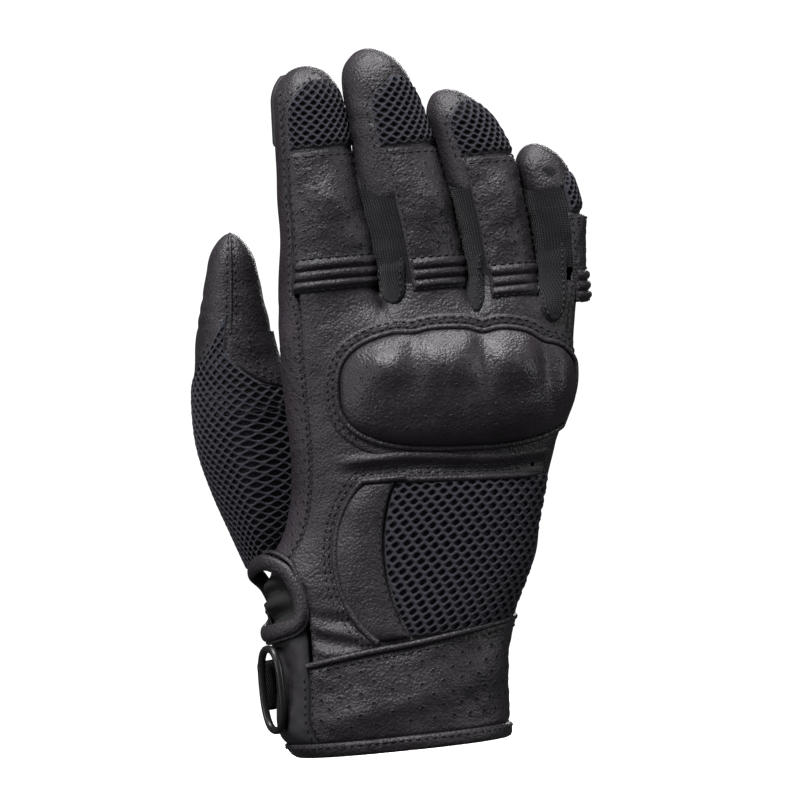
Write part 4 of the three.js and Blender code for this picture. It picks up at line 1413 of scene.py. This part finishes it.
def build_roll(name, surface, angles, profile):
    """A closed roll of leather swept along the hem."""
    grid_a, grid_t = np.meshgrid(angles, profile, indexing="ij")
    wave = 0.15 * ripple(grid_a / 2, grid_t * 2, 9, 83)
    points = surface(grid_a, grid_t, wave)
    rows, sides = grid_a.shape
    ids = np.arange(rows * sides).reshape(rows, sides)
    j = np.arange(sides)
    m = (j + 1) % sides
    faces = np.stack([ids[:-1][:, j], ids[1:][:, j], ids[1:][:, m], ids[:-1][:, m]], axis=-1).reshape(-1, 4)
    flat = points.reshape(-1, 3)
    centres = np.stack([points[0].mean(axis=0), points[-1].mean(axis=0)])
    flat = np.vstack([flat, centres])
    extras = {"cloth": flat, "pit": np.zeros(len(flat))}
    obj = new_mesh(name, flat, np.vstack([faces, end_caps(ids)]), [LEATHER], extras)
    weld(obj)
    place(obj, replaces=["hem_binding"])


# The middle of the vent's binding: (angle, height, how far it flares out from the hand).
VENT_PATH = [
    (188, 65.8, 5.2), (168, 69.2, 3.4), (144, 66.2, 1.4), (131, 59.5, 1.2), (128.5, 52.5, 1.2),
    (134, 47.2, 1.3), (148, 45.2, 1.5), (172, 44.2, 1.8), (194, 45.5, 1.0), (206, 51.5, -0.5),
    (202, 60.0, 1.0),
]


def build_vent():
    """The vent notch with its rolled leather binding, and the dark lining that shows inside it."""
    knots = np.array(VENT_PATH, float)
    angle, z, flare = smooth_loop(knots, 12).T
    path = hand_point(z, angle, flare)
    outward = hand_point(z, angle, flare + 1) - path
    piping = tube("vent_piping", path, 2.9, LEATHER, sides=18, outward=outward, flatten=0.55)
    place(piping, replaces=["vent_piping"])
    middle = np.array([160, 56.5, 0.0])
    angle, z, flare = smooth_loop(middle + (knots - middle) * (1.1, 1.27, 1), 12).T
    welt = hand_point(z, angle, flare - 0.3)
    place(tube("vent_welt", welt, 0.75, LEATHER, sides=8))

    def inner_surface(u, h, offset):
        return hand_point(h, mix(124, 204, u), offset - mix(3.6, 1.6, u))
    inner = panel("vent_lining", inner_surface, lines(0, 1, 1 / 60), lines(42, 71, 0.8), LINING, wall=0.8,
                  relief=lambda u, h, p: 1.1 * np.sin(h * 0.8 + 5 * u) * bell(u, 0.5, 0.3))
    place(inner)


def ring_frame():
    """The ring's centre, and its across and outward directions."""
    centre = hand_point(RING["z"], float(RING["angle"]), RING["standoff"])
    ahead = hand_point(RING["z"], RING["angle"] - 12.0, RING["standoff"])
    across = (ahead - centre) * (1, 1, 0)
    across /= np.linalg.norm(across)
    outward = np.array([across[1], -across[0], 0])
    return centre, across, outward if outward[0] < 0 else -outward


def build_ring():
    centre, across, outward = ring_frame()
    turn = np.linspace(0, math.tau, 96, endpoint=False)
    sideways = power(np.cos(turn), 0.8) * (RING["half_width"] - RING["band"] / 2)
    up = power(np.sin(turn), 0.8) * (RING["half_height"] - RING["band"] / 2)
    path = centre + sideways[:, None] * across + up[:, None] * np.array([0, 0, 1.0])
    ring = tube("oval_ring", path, RING["band"] * 0.62, PLASTIC, sides=14, outward=[outward] * len(turn))
    place(ring, replaces=["oval_ring"])


def build_strap():
    def strip(low, high):
        return lambda a, v, o: hand_point(mix(low, high, v), a, o)
    layers = [
        ("closure_strap", "closure_strap", "hand", SLIT_ANGLE + 4, 286, 1.9, 1.2, WEBBING, 0),
        ("loop_tape", "loop_patch", "hand", 216, 282, 3.1, 0.8, LOOPS, 1.5),
        ("hook_tape", "hook_patch", "strap_end", 216, 280, 4.3, 0.8, HOOKS, 1.5),
        ("strap_tab", "strap_tab", "strap_end", SLIT_ANGLE + 4, 290, 5.9, 1.2, WEBBING, 0),
    ]
    for name, node, body, start, end, lift, wall, material, margin in layers:
        surface = strip(STRAP[0] + margin, STRAP[1] - margin)
        piece = panel(name, surface, lines(start, end, 1.5), lines(0, 1, 1 / 16), material, lift=lift,
                      wall=wall, roll=0.3)
        place(piece, body=body, replaces=[node])
    along = lines(SLIT_ANGLE + 8, 286, 1.5)
    rows = [(along, 0.1), (along, 0.9), (287.0, lines(0.1, 0.9, 0.05))]
    sew("strap_stitches", strip(*STRAP), rows, body="strap_end", on=[piece])

    middle = hand_point(RING["z"], SLIT_ANGLE + 1.0, 3.8)

    def loop(u, v, offset):
        turn = mix(math.pi, 0, u)
        x = middle[0] - (2.9 + offset) * np.cos(turn)
        y = middle[1] - (2.9 + offset) * 1.4 * np.sin(turn)
        return np.stack([x, y, mix(*STRAP, v)], axis=-1)
    piece = panel("strap_loop", loop, lines(0, 1, 1 / 30), lines(0, 1, 1 / 24), WEBBING, wall=1.1,
                  rolled="bt", roll=0.5)
    place(piece, replaces=["strap_loop"])


build_stage()
build_hand()
build_guard()
build_pad()
for order, finger in enumerate(FINGERS):
    build_finger(finger, order)
build_index_side()
build_tongues()
build_thumb()
build_cuff()
build_vent()
build_ring()
build_strap()
